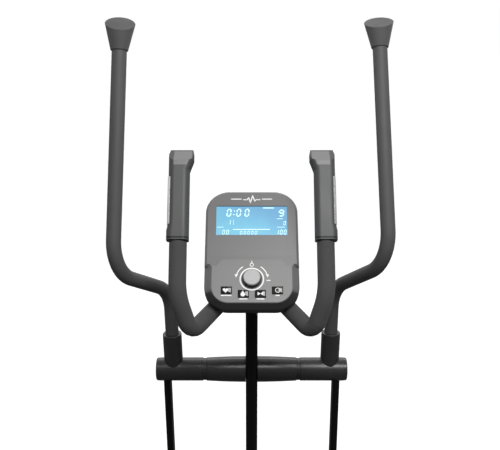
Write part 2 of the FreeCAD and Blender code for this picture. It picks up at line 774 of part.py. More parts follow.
def bar_channels(label, radius):
    """Round tools along the lower runs of the bar, for the pieces that it passes through."""
    tools = []
    for name, side in SIDES.items():
        points = mirrored(bar_points(), side)
        run = points[1] - points[0]
        shape = Part.makeCylinder(radius, run.Length, points[0], run)
        tools.append(feature(f"{label}_{name}", shape, Placement(PIVOT, Rotation())))
    return tools


def make_bar_foam(name, side):
    """Foam sleeve from beside the mast, round the bend and up to the pulse grip."""
    points = mirrored(bar_points(), side)
    run = points[1] - points[0]
    points[0] = points[0] + run * 0.3
    points[3] = mirrored([grip_start()], side)[0]
    up = (points[3] - points[2]).normalize()
    points[3] = points[3] - up * 0.5
    sleeve = swept_tube(bar_path(points), size("foam_radius"), size("bar_radius") + 0.1)
    feature(f"bar_foam_{name}", sleeve, Placement(PIVOT, Rotation()))


def grip_place(side):
    start = mirrored([grip_start()], side)[0]
    return Placement(PIVOT + start, Rotation(AXIS_X, -size("bar_lean")))


def make_pulse_grip(name, side):
    """Moulded grip: straight outside, flared inwards at the top, with a slanted top facet."""
    body = new_body(f"pulse_grip_{name}", grip_place(side))
    half = "sizes.grip_width / 2"
    wide = "(sizes.grip_width / 2 + sizes.grip_flare)"
    top = "sizes.grip_length"
    profile = new_sketch(body, "XZ_Plane")
    outline(profile, [
        (f"{side} * ({half} + 2.5)", "0"), (f"{side} * ({half} + 2.5)", "21"),
        (f"{side} * {half}", "33"), (f"{side} * {half}", f"{top} - 12"),
        (f"{side} * ({half} - 3)", top), (f"-{side} * ({wide} - 2)", top),
        (f"-{side} * {wide}", f"{top} - 10"), (f"-{side} * {wide}", f"{top} - 26"),
        (f"-{side} * {half}", f"{top} - 50"), (f"-{side} * {half}", "0")])
    pad(body, profile, "sizes.grip_depth", symmetric=True)
    depth = size("grip_depth") / 2

    def long_side(edge):
        box = edge.BoundBox
        flat = abs(abs(box.YMin) - depth) < 0.01 and box.YLength < 0.01
        return flat and box.ZLength > 9
    round_edges(body, "13", long_side)
    facet = new_sketch(body, "YZ_Plane")
    outline(facet, [
        ("-1 * sizes.grip_depth / 2 - 1", f"{top} - 30"), ("2", f"{top} + 1"),
        ("-1 * sizes.grip_depth / 2 - 1", f"{top} + 1")])
    pocket(body, facet, "120", symmetric=True)
    bore = new_sketch(body, "XY_Plane")
    circle(bore, "0", "0", "sizes.bar_radius + 0.1")
    pocket(body, bore, f"{top} - 26", reverse=True)


def make_pulse_sensor(name, side):
    """Metal sensor plate on the grip's outer side, lapping its rounded corners."""
    body = new_body(f"pulse_sensor_{name}", grip_place(side))
    inner = size("grip_width") / 2 + 0.1
    depth = size("grip_depth") / 2 + 0.1
    thick = size("sensor_thickness")
    corner = 13
    wrap = 52

    def bend(extra, way):
        """Points round a corner of the grip, from the plate's edge to its flat side."""
        across = inner - corner
        along = way * (depth - corner)
        radius = corner + extra
        turns = [math.radians(wrap * share) for share in (1, 0.5, 0)]
        return [Vector(side * (across + radius * math.cos(turn)),
                       along + way * radius * math.sin(turn), 0) for turn in turns]
    near = bend(0, -1)
    far = bend(0, 1)
    near_out = bend(thick, -1)
    far_out = bend(thick, 1)
    profile = new_sketch(body, "XY_Plane", size("sensor_start"))
    curve_loop(profile, [
        Part.Arc(near[0], near[1], near[2]),
        Part.LineSegment(near[2], far[2]),
        Part.Arc(far[2], far[1], far[0]),
        Part.LineSegment(far[0], far_out[0]),
        Part.Arc(far_out[0], far_out[1], far_out[2]),
        Part.LineSegment(far_out[2], near_out[2]),
        Part.Arc(near_out[2], near_out[1], near_out[0]),
        Part.LineSegment(near_out[0], near[0]),
    ])
    pad(body, profile, "sizes.sensor_length")


# ---------------------------------------------------------------- console

def console_section(sketch, side_inset=0, end_inset=None):
    """The console's rounded outline, inset at its sides and ends."""
    if end_inset is None:
        end_inset = side_inset
    half_x = size("console_width") / 2 - side_inset
    half_y = (size("console_top") + size("console_bottom")) / 2 - end_inset
    middle = (size("console_top") - size("console_bottom")) / 2
    rounded_box(sketch, 0, middle, half_x, half_y, size("console_round") - side_inset)


def rounded_box(sketch, across, up, half_x, half_y, radius):
    """Rounded rectangle made of four lines and four quarter arcs."""
    diagonal = radius * math.sqrt(0.5)
    pieces = []
    turns = [(1, 1), (-1, 1), (-1, -1), (1, -1)]
    for index, (way_x, way_y) in enumerate(turns):
        centre = Vector(across + way_x * (half_x - radius), up + way_y * (half_y - radius), 0)
        on_side = centre + Vector(way_x * radius, 0, 0)
        on_end = centre + Vector(0, way_y * radius, 0)
        middle = centre + Vector(way_x * diagonal, way_y * diagonal, 0)
        start, finish = (on_side, on_end) if index % 2 == 0 else (on_end, on_side)
        next_x, next_y = turns[(index + 1) % 4]
        next_centre = Vector(across + next_x * (half_x - radius),
                             up + next_y * (half_y - radius), 0)
        if index % 2 == 0:
            following = next_centre + Vector(0, next_y * radius, 0)
        else:
            following = next_centre + Vector(next_x * radius, 0, 0)
        pieces.append(Part.Arc(start, middle, finish))
        pieces.append(Part.LineSegment(finish, following))
    curve_loop(sketch, pieces)


def button_spots():
    """Centres of the four buttons on the console face, left to right, on a shallow arc."""
    return [(-55.6, -108.5), (-18.5, -116.5), (18.5, -116.5), (55.6, -108.5)]


def tongue():
    """Right half of the raised panel's upper edge: from its top corner to the shoulder."""
    shoulder = size("shoulder_y")
    return [(66, shoulder + 15), (78, shoulder)]


def make_console_front():
    """Front shell: a flat upper face with the display window, and below the shoulders a
    raised control panel with wide bevels."""
    body = new_body("console_front", CONSOLE_PLACE)
    back = -size("front_thickness")
    top = size("panel_rise")
    foot = top - size("bevel_depth")
    blank = new_sketch(body, "XY_Plane", back)
    console_section(blank)
    pad(body, blank, "sizes.front_thickness + sizes.panel_rise - sizes.bevel_depth")
    wide = new_sketch(body, "XY_Plane", foot)
    console_section(wide)
    narrow = new_sketch(body, "XY_Plane", top)
    console_section(narrow, size("bevel_side"), size("bevel_bottom"))
    loft(body, wide, narrow)
    (tip_x, tip_y), (step_x, step_y) = tongue()
    side = size("console_width") / 2
    reach = side + 10
    far = size("console_top") + 10
    clear = new_sketch(body, "XY_Plane", top + 1)
    outline(clear, [(str(across), str(up)) for across, up in [
        (-reach, step_y), (-step_x, step_y), (-tip_x, tip_y), (tip_x, tip_y),
        (step_x, step_y), (reach, step_y), (reach, far), (-reach, far)]])
    pocket(body, clear, "sizes.bevel_depth + 1")
    upper = new_sketch(body, "XY_Plane", foot)
    shoulder_section(upper)
    pad(body, upper, "sizes.bevel_depth - sizes.panel_rise")

    def outer_rim(edge):
        box = edge.BoundBox
        on_side = box.XMax > side - 0.1 or box.XMin < 0.1 - side
        return is_at(AXIS_Z, 0)(edge) and (on_side or box.YMax > size("console_top") - 0.1)
    round_edges(body, "sizes.console_chamfer", outer_rim, kind="Chamfer")
    hollow_front(body, back)


def shoulder_section(sketch):
    """The console's outline above its shoulders."""
    side = size("console_width") / 2
    radius = size("console_round")
    top = size("console_top")
    low = size("shoulder_y")
    diagonal = radius * math.sqrt(0.5)
    high = top - radius
    across = side - radius
    curve_loop(sketch, [
        Part.LineSegment(Vector(-side, low, 0), Vector(side, low, 0)),
        Part.LineSegment(Vector(side, low, 0), Vector(side, high, 0)),
        Part.Arc(Vector(side, high, 0), Vector(across + diagonal, high + diagonal, 0),
                 Vector(across, top, 0)),
        Part.LineSegment(Vector(across, top, 0), Vector(-across, top, 0)),
        Part.Arc(Vector(-across, top, 0), Vector(-across - diagonal, high + diagonal, 0),
                 Vector(-side, high, 0)),
        Part.LineSegment(Vector(-side, high, 0), Vector(-side, low, 0)),
    ])


def hollow_front(body, back):
    """Hollows the front shell in two steps and cuts its window, dial hole and key holes."""
    hollow = new_sketch(body, "XY_Plane", back)
    console_section(hollow, size("shell_wall"))
    pocket(body, hollow, "sizes.front_thickness - sizes.bevel_depth + sizes.panel_rise - 1",
           reverse=True)
    inner = new_sketch(body, "XY_Plane", back)
    console_section(inner, size("shell_wall") + 10)
    pocket(body, inner, "sizes.front_thickness - sizes.shell_wall", reverse=True)
    openings = new_sketch(body, "XY_Plane", size("panel_rise") + 1)
    rectangle(openings, "0", "sizes.display_y", "sizes.display_width + 0.6",
              "sizes.display_height + 0.6")
    circle(openings, "0", "sizes.dial_y", "4.3")
    for across, up in button_spots():
        rectangle(openings, str(across), str(up), "sizes.button_width + 0.8",
                  "sizes.button_height + 0.8")
    pocket(body, openings, "40")


def make_console_back():
    """Back shell, a shallow dish behind the front shell, relieved where the bar passes."""
    body = new_body("console_back_blank", CONSOLE_PLACE)
    joint_line = -size("front_thickness") - 0.2
    blank = new_sketch(body, "XY_Plane", joint_line)
    console_section(blank)
    pad(body, blank, "sizes.back_thickness", reverse=True)
    round_edges(body, "14", is_at(AXIS_Z, joint_line - size("back_thickness")))
    hollow = new_sketch(body, "XY_Plane", joint_line)
    console_section(hollow, 14)
    pocket(body, hollow, "sizes.back_thickness - sizes.shell_wall")
    cut("console_back", body, *bar_channels("back_bar_trim", size("foam_radius") + 0.6))


def make_display():
    """Clear lens, and the display module behind it."""
    lens = new_body("display_lens", CONSOLE_PLACE)
    face = new_sketch(lens, "XY_Plane", -1)
    rectangle(face, "0", "sizes.display_y", "sizes.display_width", "sizes.display_height")
    pad(lens, face, "sizes.lens_thickness", reverse=True)
    module = new_body("display_panel", CONSOLE_PLACE)
    back = new_sketch(module, "XY_Plane", -size("shell_wall") - 0.2)
    rectangle(back, "0", "sizes.display_y", "sizes.display_width + 10",
              "sizes.display_height + 8")
    pad(module, back, "sizes.module_thickness", reverse=True)


def make_dial():
    """Turning selector knob with a tapered skirt and a spindle."""
    centre = CONSOLE_PLACE.multVec(Vector(0, size("dial_y"), size("panel_rise") + 0.4))
    body = new_body("dial", Placement(centre, CONSOLE_PLACE.Rotation))
    profile = new_sketch(body, "XZ_Plane")
    outline(profile, [
        ("0", "-14"), ("4", "-14"), ("4", "0"), ("sizes.dial_radius", "0"),
        ("sizes.dial_radius - 1", "sizes.dial_height - 1.5"),
        ("sizes.dial_radius - 2.5", "sizes.dial_height"), ("0", "sizes.dial_height")])
    revolve(body, profile, "V_Axis")


def make_button(number, across, up):
    body = new_body(f"button_{number}", CONSOLE_PLACE)
    face = new_sketch(body, "XY_Plane", -6)
    rectangle(face, str(across), str(up), "sizes.button_width", "sizes.button_height")
    pad(body, face, "6 + sizes.panel_rise + sizes.button_rise")
    round_edges(body, "3", is_along(AXIS_Z))
    top = size("panel_rise") + size("button_rise")
    round_edges(body, "0.8", is_at(AXIS_Z, top))


def make_console_neck():
    """Moulded collar that joins the console to the mast top."""
    width, depth, base = 50, 88, 248
    place = MAST_PLACE.multiply(Placement(Vector(-width / 2, -depth / 2, base), Rotation()))
    blank = block("neck_blank", str(width), str(depth), "190", place)
    thickness = size("front_thickness") + size("back_thickness") + 0.4
    corner = CONSOLE_PLACE.multiply(Placement(Vector(-150, -250, -thickness), Rotation()))
    console = block("neck_console_trim", "300", "500", "300", corner)
    gap = size("clearance")
    half_x = size("mast_width") / 2 + gap
    half_y = size("mast_depth") / 2 + gap
    below = size("mast_above") - 100
    inside = MAST_PLACE.multiply(Placement(Vector(-half_x, -half_y, below), Rotation()))
    mast = block("neck_mast_trim", str(2 * half_x), str(2 * half_y), "100.4", inside)
    bars = bar_channels("neck_bar_trim", size("bar_radius") + 0.5)
    cut("console_neck", blank, console, mast, *bars)


# ---------------------------------------------------------------- drive

def housing_outline(sketch, inset):
    """Rounded dome over crank pulley and flywheel, flat where it meets the beam."""
    base = size("beam_base") + size("beam_height") + 0.5 + inset
    rear = size("housing_rear_radius") - inset
    front = size("housing_front_radius") - inset
    back = Vector(CRANK_CENTRE.y, CRANK_CENTRE.z, 0)
    ahead = Vector(FLYWHEEL_CENTRE.y, FLYWHEEL_CENTRE.z, 0)
    run = ahead - back
    heading = math.atan2(run.y, run.x) - math.asin((rear - front) / run.Length)
    up = Vector(-math.sin(heading), math.cos(heading), 0)
    start = back - AXIS_X * rear
    finish = ahead + AXIS_X * front
    rear_top = back + up * rear
    front_top = ahead + up * front
    rear_middle = back + (up - AXIS_X).normalize() * rear
    front_middle = ahead + (up + AXIS_X).normalize() * front
    curve_loop(sketch, [
        Part.LineSegment(Vector(start.x, base, 0), Vector(finish.x, base, 0)),
        Part.LineSegment(Vector(finish.x, base, 0), finish),
        Part.Arc(finish, front_middle, front_top),
        Part.LineSegment(front_top, rear_top),
        Part.Arc(rear_top, rear_middle, start),
        Part.LineSegment(start, Vector(start.x, base, 0)),
    ])


def make_housing(name, side):
    """Half shell of the drive cover, open at the joint line and over the bracket's foot."""
    corner = 16
    step = 13
    body = new_body(f"housing_{name}", Placement())
    blank = new_sketch(body, "YZ_Plane", side * 0.1)
    housing_outline(blank, 0)
    pad(body, blank, "sizes.housing_half", reverse=side < 0)
    round_edges(body, str(corner), is_at(AXIS_X, side * (size("housing_half") + 0.1)))
    hollow = new_sketch(body, "YZ_Plane", side * 0.1)
    housing_outline(hollow, size("housing_wall"))
    pocket(body, hollow, f"sizes.housing_half - sizes.housing_wall - {step}", reverse=side > 0)
    deep = new_sketch(body, "YZ_Plane", side * 0.1)
    housing_outline(deep, size("housing_wall") + step)
    pocket(body, deep, "sizes.housing_half - sizes.housing_wall", reverse=side > 0)
    shaft = new_sketch(body, "YZ_Plane")
    circle(shaft, str(CRANK_CENTRE.y), str(CRANK_CENTRE.z), "sizes.crank_axle_radius + 8")
    pocket(body, shaft, "200", symmetric=True)
    foot = new_sketch(body, "XY_Plane", size("beam_base"))
    overhang = 60
    start = CRANK_CENTRE.y - overhang
    length = size("flywheel_ahead") + 2 * overhang
    rectangle(foot, "0", str(start + length / 2), "2 * sizes.bracket_half + 3", str(length))
    pocket(body, foot, "80", reverse=True)
    if side == RIGHT:
        port = new_sketch(body, "XZ_Plane", -inlet_spot().y)
        circle(port, str(inlet_spot().x), str(inlet_spot().z), "6")
        pocket(body, port, "40", symmetric=True)


def inlet_spot():
    """Centre of the power inlet on the housing's front wall."""
    front = FLYWHEEL_CENTRE.y + size("housing_front_radius")
    return Vector(32, front, 130)


def make_power_inlet():
    """Barrel socket for a low-voltage supply, with a flange outside the housing wall."""
    spot = inlet_spot()
    body = new_body("power_inlet", Placement(spot, Rotation()))
    flange = new_sketch(body, "XZ_Plane", -2.6)
    circle(flange, "0", "0", "9")
    pad(body, flange, "2.4")
    barrel = new_sketch(body, "XZ_Plane", -0.4)
    circle(barrel, "0", "0", "5.8")
    pad(body, barrel, "16")
    bore = new_sketch(body, "XZ_Plane", -2.6)
    circle(bore, "0", "0", "3")
    circle(bore, "0", "0", "1")
    pocket(body, bore, "11", reverse=True)


def make_drive_bracket():
    """Folded channel on the beam whose cheeks carry both shafts."""
    body = new_body("drive_bracket", Placement())
    base = size("beam_base") + size("beam_height") + 0.1
    half = size("bracket_half")
    plate = size("bracket_plate")
    top = size("bracket_top")
    overhang = 50
    start = CRANK_CENTRE.y - overhang
    length = size("flywheel_ahead") + 2 * overhang
    channel = new_sketch(body, "XZ_Plane", -(start + length))
    outline(channel, [
        (str(-half), str(base)), (str(half), str(base)), (str(half), str(top)),
        (str(half - plate), str(top)), (str(half - plate), str(base + plate)),
        (str(plate - half), str(base + plate)), (str(plate - half), str(top)),
        (str(-half), str(top))])
    pad(body, channel, str(length))
    trim = new_sketch(body, "YZ_Plane")
    front = start + length
    outline(trim, [
        (str(start + 90), str(top + 1)), (str(front + 1), str(top + 1)),
        (str(front + 1), str(FLYWHEEL_CENTRE.z + 30)), (str(start + 130), str(top - 30))])
    pocket(body, trim, "200", symmetric=True)
    bores = new_sketch(body, "YZ_Plane")
    circle(bores, str(CRANK_CENTRE.y), str(CRANK_CENTRE.z),
           "sizes.crank_axle_radius + sizes.running_gap")
    circle(bores, str(FLYWHEEL_CENTRE.y), str(FLYWHEEL_CENTRE.z),
           "sizes.flywheel_shaft_radius + sizes.running_gap")
    pocket(body, bores, "200", symmetric=True)


def make_crank_axle():
    half = size("crank_start") + size("crank_thickness") - 2
    place = lying_along_x(CRANK_CENTRE - AXIS_X * half)
    cylinder("crank_axle", "sizes.crank_axle_radius", str(2 * half), place)


def make_crank(name, side):
    """Crank arm with rounded ends, clamped on the axle, and a short pin for the pedal arm."""
    turn = -size("crank_tilt") if side == LEFT else 180 - size("crank_tilt")
    body = new_body(f"crank_{name}", Placement(CRANK_CENTRE, Rotation(AXIS_X, turn)))
    start = side * size("crank_start")
    big, small = 24, 18
    reach = size("crank_radius")
    arm = new_sketch(body, "YZ_Plane", start)
    curve_loop(arm, [
        Part.LineSegment(Vector(-big, 0, 0), Vector(-small, reach, 0)),
        Part.Arc(Vector(-small, reach, 0), Vector(0, reach + small, 0), Vector(small, reach, 0)),
        Part.LineSegment(Vector(small, reach, 0), Vector(big, 0, 0)),
        Part.Arc(Vector(big, 0, 0), Vector(0, -big, 0), Vector(-big, 0, 0)),
    ])
    pad(body, arm, "sizes.crank_thickness", reverse=side < 0)
    round_edges(body, "2", is_at(AXIS_X, start + side * size("crank_thickness")))
    pin = new_sketch(body, "YZ_Plane", start)
    circle(pin, "0", "sizes.crank_radius", "sizes.crank_pin_radius")
    pad(body, pin, "sizes.crank_thickness + sizes.crank_pin_length", reverse=side < 0)
    bore = new_sketch(body, "YZ_Plane")
    circle(bore, "0", "0", "sizes.crank_axle_radius + 0.02")
    pocket(body, bore, "400", symmetric=True)


def make_crank_pulley():
    """Large belt pulley with a ring of lightening holes."""
    body = new_body("crank_pulley", Placement(CRANK_CENTRE, Rotation()))
    disc = new_sketch(body, "YZ_Plane", size("pulley_start"))
    circle(disc, "0", "0", "sizes.pulley_radius")
    circle(disc, "0", "0", "sizes.crank_axle_radius + 0.02")
    pad(body, disc, "sizes.pulley_width")
    hole = new_sketch(body, "YZ_Plane", size("pulley_start"))
    circle(hole, "0", "70", "22")
    first = pocket(body, hole, "sizes.pulley_width", reverse=True)
    pattern = body.newObject("PartDesign::PolarPattern", "pulley_holes")
    pattern.Originals = [first]
    pattern.Axis = (disc, ["N_Axis"])
    pattern.Angle = 360
    pattern.Occurrences = 6
    body.Tip = pattern
    doc.recompute()


def make_flywheel():
    """Cast flywheel turned in one piece with its shaft and small pulley."""
    body = new_body("flywheel", Placement(FLYWHEEL_CENTRE, Rotation()))
    profile = new_sketch(body, "XZ_Plane")
    shaft = "sizes.flywheel_shaft_radius"
    small = "sizes.flywheel_pulley_radius"
    rim = "sizes.flywheel_radius"
    outline(profile, [
        ("-58", "0"), ("-58", shaft), ("-53", shaft), ("-53", "26"), ("-46", "26"),
        ("-46", f"{rim} - 26"), ("-53", f"{rim} - 26"), ("-53", rim), ("-29", rim),
        ("-29", f"{rim} - 26"), ("-36", f"{rim} - 26"), ("-36", "26"), ("-29", "26"),
        ("-29", shaft), ("sizes.pulley_start", shaft), ("sizes.pulley_start", small),
        ("sizes.pulley_start + sizes.pulley_width", small),
        ("sizes.pulley_start + sizes.pulley_width", shaft), ("58", shaft), ("58", "0")])
    revolve(body, profile, "H_Axis")


def belt_loop(sketch, large, small):
    """Closed loop round two pulleys, joined by their outer tangents."""
    back = Vector(0, 0, 0)
    run = FLYWHEEL_CENTRE - CRANK_CENTRE
    ahead = Vector(run.y, run.z, 0)
    heading = math.atan2(ahead.y, ahead.x)
    wrap = math.acos((large - small) / ahead.Length)

    def rim(centre, radius, angle):
        return centre + Vector(math.cos(angle), math.sin(angle), 0) * radius
    curve_loop(sketch, [
        Part.Arc(rim(back, large, heading + wrap), rim(back, large, heading + math.pi),
                 rim(back, large, heading - wrap)),
        Part.LineSegment(rim(back, large, heading - wrap), rim(ahead, small, heading - wrap)),
        Part.Arc(rim(ahead, small, heading - wrap), rim(ahead, small, heading),
                 rim(ahead, small, heading + wrap)),
        Part.LineSegment(rim(ahead, small, heading + wrap), rim(back, large, heading + wrap)),
    ])


def make_drive_belt():
    body = new_body("drive_belt", Placement(CRANK_CENTRE, Rotation()))
    start = size("pulley_start") + (size("pulley_width") - size("belt_width")) / 2
    loop = new_sketch(body, "YZ_Plane", start)
    large = size("pulley_radius") + size("clearance")
    small = size("flywheel_pulley_radius") + size("clearance")
    thick = size("belt_thickness")
    belt_loop(loop, large + thick, small + thick)
    belt_loop(loop, large, small)
    pad(body, loop, "sizes.belt_width")


# ---------------------------------------------------------------- pedals

def make_pedal_arm(name, side):
    """Box tube with a bearing hub at each end."""
    body = new_body(f"pedal_arm_{name}", pedal_place(side))
    length = size("pedal_arm_length")
    section = new_sketch(body, "XZ_Plane")
    rectangle(section, "0", "0", "sizes.pedal_tube_width", "sizes.pedal_tube_height")
    rectangle(section, "0", "0", "sizes.pedal_tube_width - 4", "sizes.pedal_tube_height - 4")
    pad(body, section, "sizes.pedal_arm_length")
    inner = side * (size("crank_start") + size("crank_thickness") + size("crank_pin_length")
                    + 1.2 - size("pedal_arm_x"))
    outer = side * (size("lower_x") - size("lower_hub_width") / 2 - 0.5 - size("pedal_arm_x"))
    edge = side * size("pedal_tube_width") / 2
    front = new_sketch(body, "YZ_Plane", -edge)
    circle(front, "0", "0", "sizes.pedal_hub_radius")
    pad(body, front, str(abs(outer + edge)), reverse=side < 0)
    rear = new_sketch(body, "YZ_Plane", inner)
    circle(rear, str(-length), "0", "sizes.pedal_hub_radius")
    pad(body, rear, str(abs(edge - inner)), reverse=side < 0)
    bores = new_sketch(body, "YZ_Plane", 2 * edge + side * 40)
    circle(bores, "0", "0", "sizes.lower_pin_radius + sizes.running_gap")
    pocket(body, bores, str(abs(2 * edge) + 40 + 12), reverse=side < 0)


def make_footplate(name, side):
    """Shallow moulded tray on the pedal arm, with a low rim."""
    body = new_body(f"footplate_{name}", pedal_place(side))
    base = size("pedal_tube_height") / 2 + 0.1
    across = side * size("footplate_x")
    along = -size("footplate_ahead")
    half_x = size("footplate_width") / 2
    half_y = size("footplate_length") / 2
    radius = size("footplate_round")
    blank = new_sketch(body, "XY_Plane", base)
    rounded_box(blank, across, along, half_x, half_y, radius)
    pad(body, blank, "sizes.footplate_base + sizes.footplate_rim")
    tray = new_sketch(body, "XY_Plane", base + size("footplate_base"))
    wall = 5
    rounded_box(tray, across, along, half_x - wall, half_y - wall, radius - wall)
    pocket(body, tray, "sizes.footplate_rim", reverse=True)


# ---------------------------------------------------------------- assembly

make_main_beam()
make_stabiliser("front_stabiliser", "front_tube_y", "front_tube_length")
make_stabiliser("rear_stabiliser", "rear_tube_y", "rear_tube_length")
make_front_caps()
make_rear_caps()
make_mast()
make_mast_foot()
make_frame_bolts()
make_cross_tube()
make_pivot_axle()
make_console_back()
make_console_front()
make_display()
make_dial()
make_console_neck()
make_drive_bracket()
make_crank_axle()
make_crank_pulley()
make_drive_belt()
make_flywheel()
make_power_inlet()
for number, (across, up) in enumerate(button_spots(), start=1):
    make_button(number, across, up)
for name, side in SIDES.items():
    make_transport_wheel(name, side)
    make_leveller(name, side)
    make_pivot_cover(name, side)
    make_pivot_bush(name, side)
    make_swing_hub(name, side)
    make_hub_plug(name, side)
    make_lower_arm(name, side)
    make_handle(name, side)
    make_handle_cap(name, side)
    make_fixed_bar(name, side)
    make_bar_foam(name, side)
    make_pulse_grip(name, side)
    make_pulse_sensor(name, side)
    make_housing(name, side)
    make_crank(name, side)
    make_pedal_arm(name, side)
    make_footplate(name, side)

SINGLE = ["main_beam", "front_stabiliser", "rear_stabiliser", "front_end_caps", "rear_end_caps",
          "mast", "mast_foot", "frame_bolts", "cross_tube", "pivot_axle", "console_back",
          "console_front", "display_lens", "display_panel", "dial", "console_neck",
          "drive_bracket", "crank_axle", "crank_pulley", "drive_belt", "flywheel",
          "power_inlet"]
NUMBERED = [f"button_{number}" for number in range(1, len(button_spots()) + 1)]
PAIRED = ["transport_wheel", "leveller", "pivot_cover", "pivot_bush", "swing_hub", "hub_plug",
          "lower_arm", "handle", "handle_cap", "fixed_bar", "bar_foam", "pulse_grip",
          "pulse_sensor", "housing", "crank", "pedal_arm", "footplate"]
NODES = SINGLE + NUMBERED + [f"{label}_{name}" for label in PAIRED for name in SIDES]

doc.recompute()
for item in doc.Objects:
    if "Invalid" in item.State or "Error" in item.State:
        raise RuntimeError(f"{item.Label} did not build: {item.State}")

os.makedirs("parts", exist_ok=True)
for node in NODES:
    shape = doc.getObjectsByLabel(node)[0].Shape
    if shape.isNull() or not shape.isValid() or not shape.Solids:
        raise RuntimeError(f"{node} has no valid shape")
    shape.exportStep(f"parts/{node}.step")
print(f"{len(NODES)} sub-parts written")
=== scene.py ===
"""An elliptical trainer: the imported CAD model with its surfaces, foam, printed marks and light."""
import math

import bmesh
import bpy
from mathutils import Matrix, Vector


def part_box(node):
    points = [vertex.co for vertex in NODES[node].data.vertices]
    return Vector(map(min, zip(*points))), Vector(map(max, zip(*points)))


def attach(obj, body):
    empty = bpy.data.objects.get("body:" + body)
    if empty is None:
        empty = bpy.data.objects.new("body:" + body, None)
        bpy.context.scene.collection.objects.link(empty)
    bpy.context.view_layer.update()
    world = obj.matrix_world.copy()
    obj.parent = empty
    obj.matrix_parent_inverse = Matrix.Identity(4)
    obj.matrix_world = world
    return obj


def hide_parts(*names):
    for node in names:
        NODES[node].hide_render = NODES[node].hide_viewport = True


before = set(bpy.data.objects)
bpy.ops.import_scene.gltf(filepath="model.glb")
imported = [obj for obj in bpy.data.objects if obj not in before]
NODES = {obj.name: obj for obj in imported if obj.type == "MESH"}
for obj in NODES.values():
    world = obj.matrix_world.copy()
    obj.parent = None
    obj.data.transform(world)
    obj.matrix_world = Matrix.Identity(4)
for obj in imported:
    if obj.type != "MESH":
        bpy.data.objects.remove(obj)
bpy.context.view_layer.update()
MM = 0.001
SIDES = {"left": -1, "right": 1}


# ---------------------------------------------------------------- places

def middle(node):
    low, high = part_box(node)
    return (low + high) / 2


PIVOT = middle("pivot_axle")
CONSOLE_TILT = math.radians(49)
CONSOLE = (Matrix.Translation(PIVOT + Vector((0, -95.6, 348)) * MM)
           @ Matrix.Rotation(CONSOLE_TILT, 4, "X"))
CONSOLE_X = Vector((1, 0, 0))
CONSOLE_UP = CONSOLE.to_3x3() @ Vector((0, 1, 0))
CONSOLE_OUT = CONSOLE.to_3x3() @ Vector((0, 0, 1))
BAR_LEAN = math.radians(27.2)
BAR_UP = Vector((0, math.sin(BAR_LEAN), math.cos(BAR_LEAN)))
GRIP_START = PIVOT + Vector((0, -169, 380)) * MM
GRIP_LENGTH = 203 * MM
FACET_OUT = Vector((0, -0.423, 0.906))
CAP_OUT = Vector((0, -0.31, 0.95))


# ---------------------------------------------------------------- shader graphs

EDGE_BEND_LOW = 0.02
EDGE_BEND_HIGH = 0.3


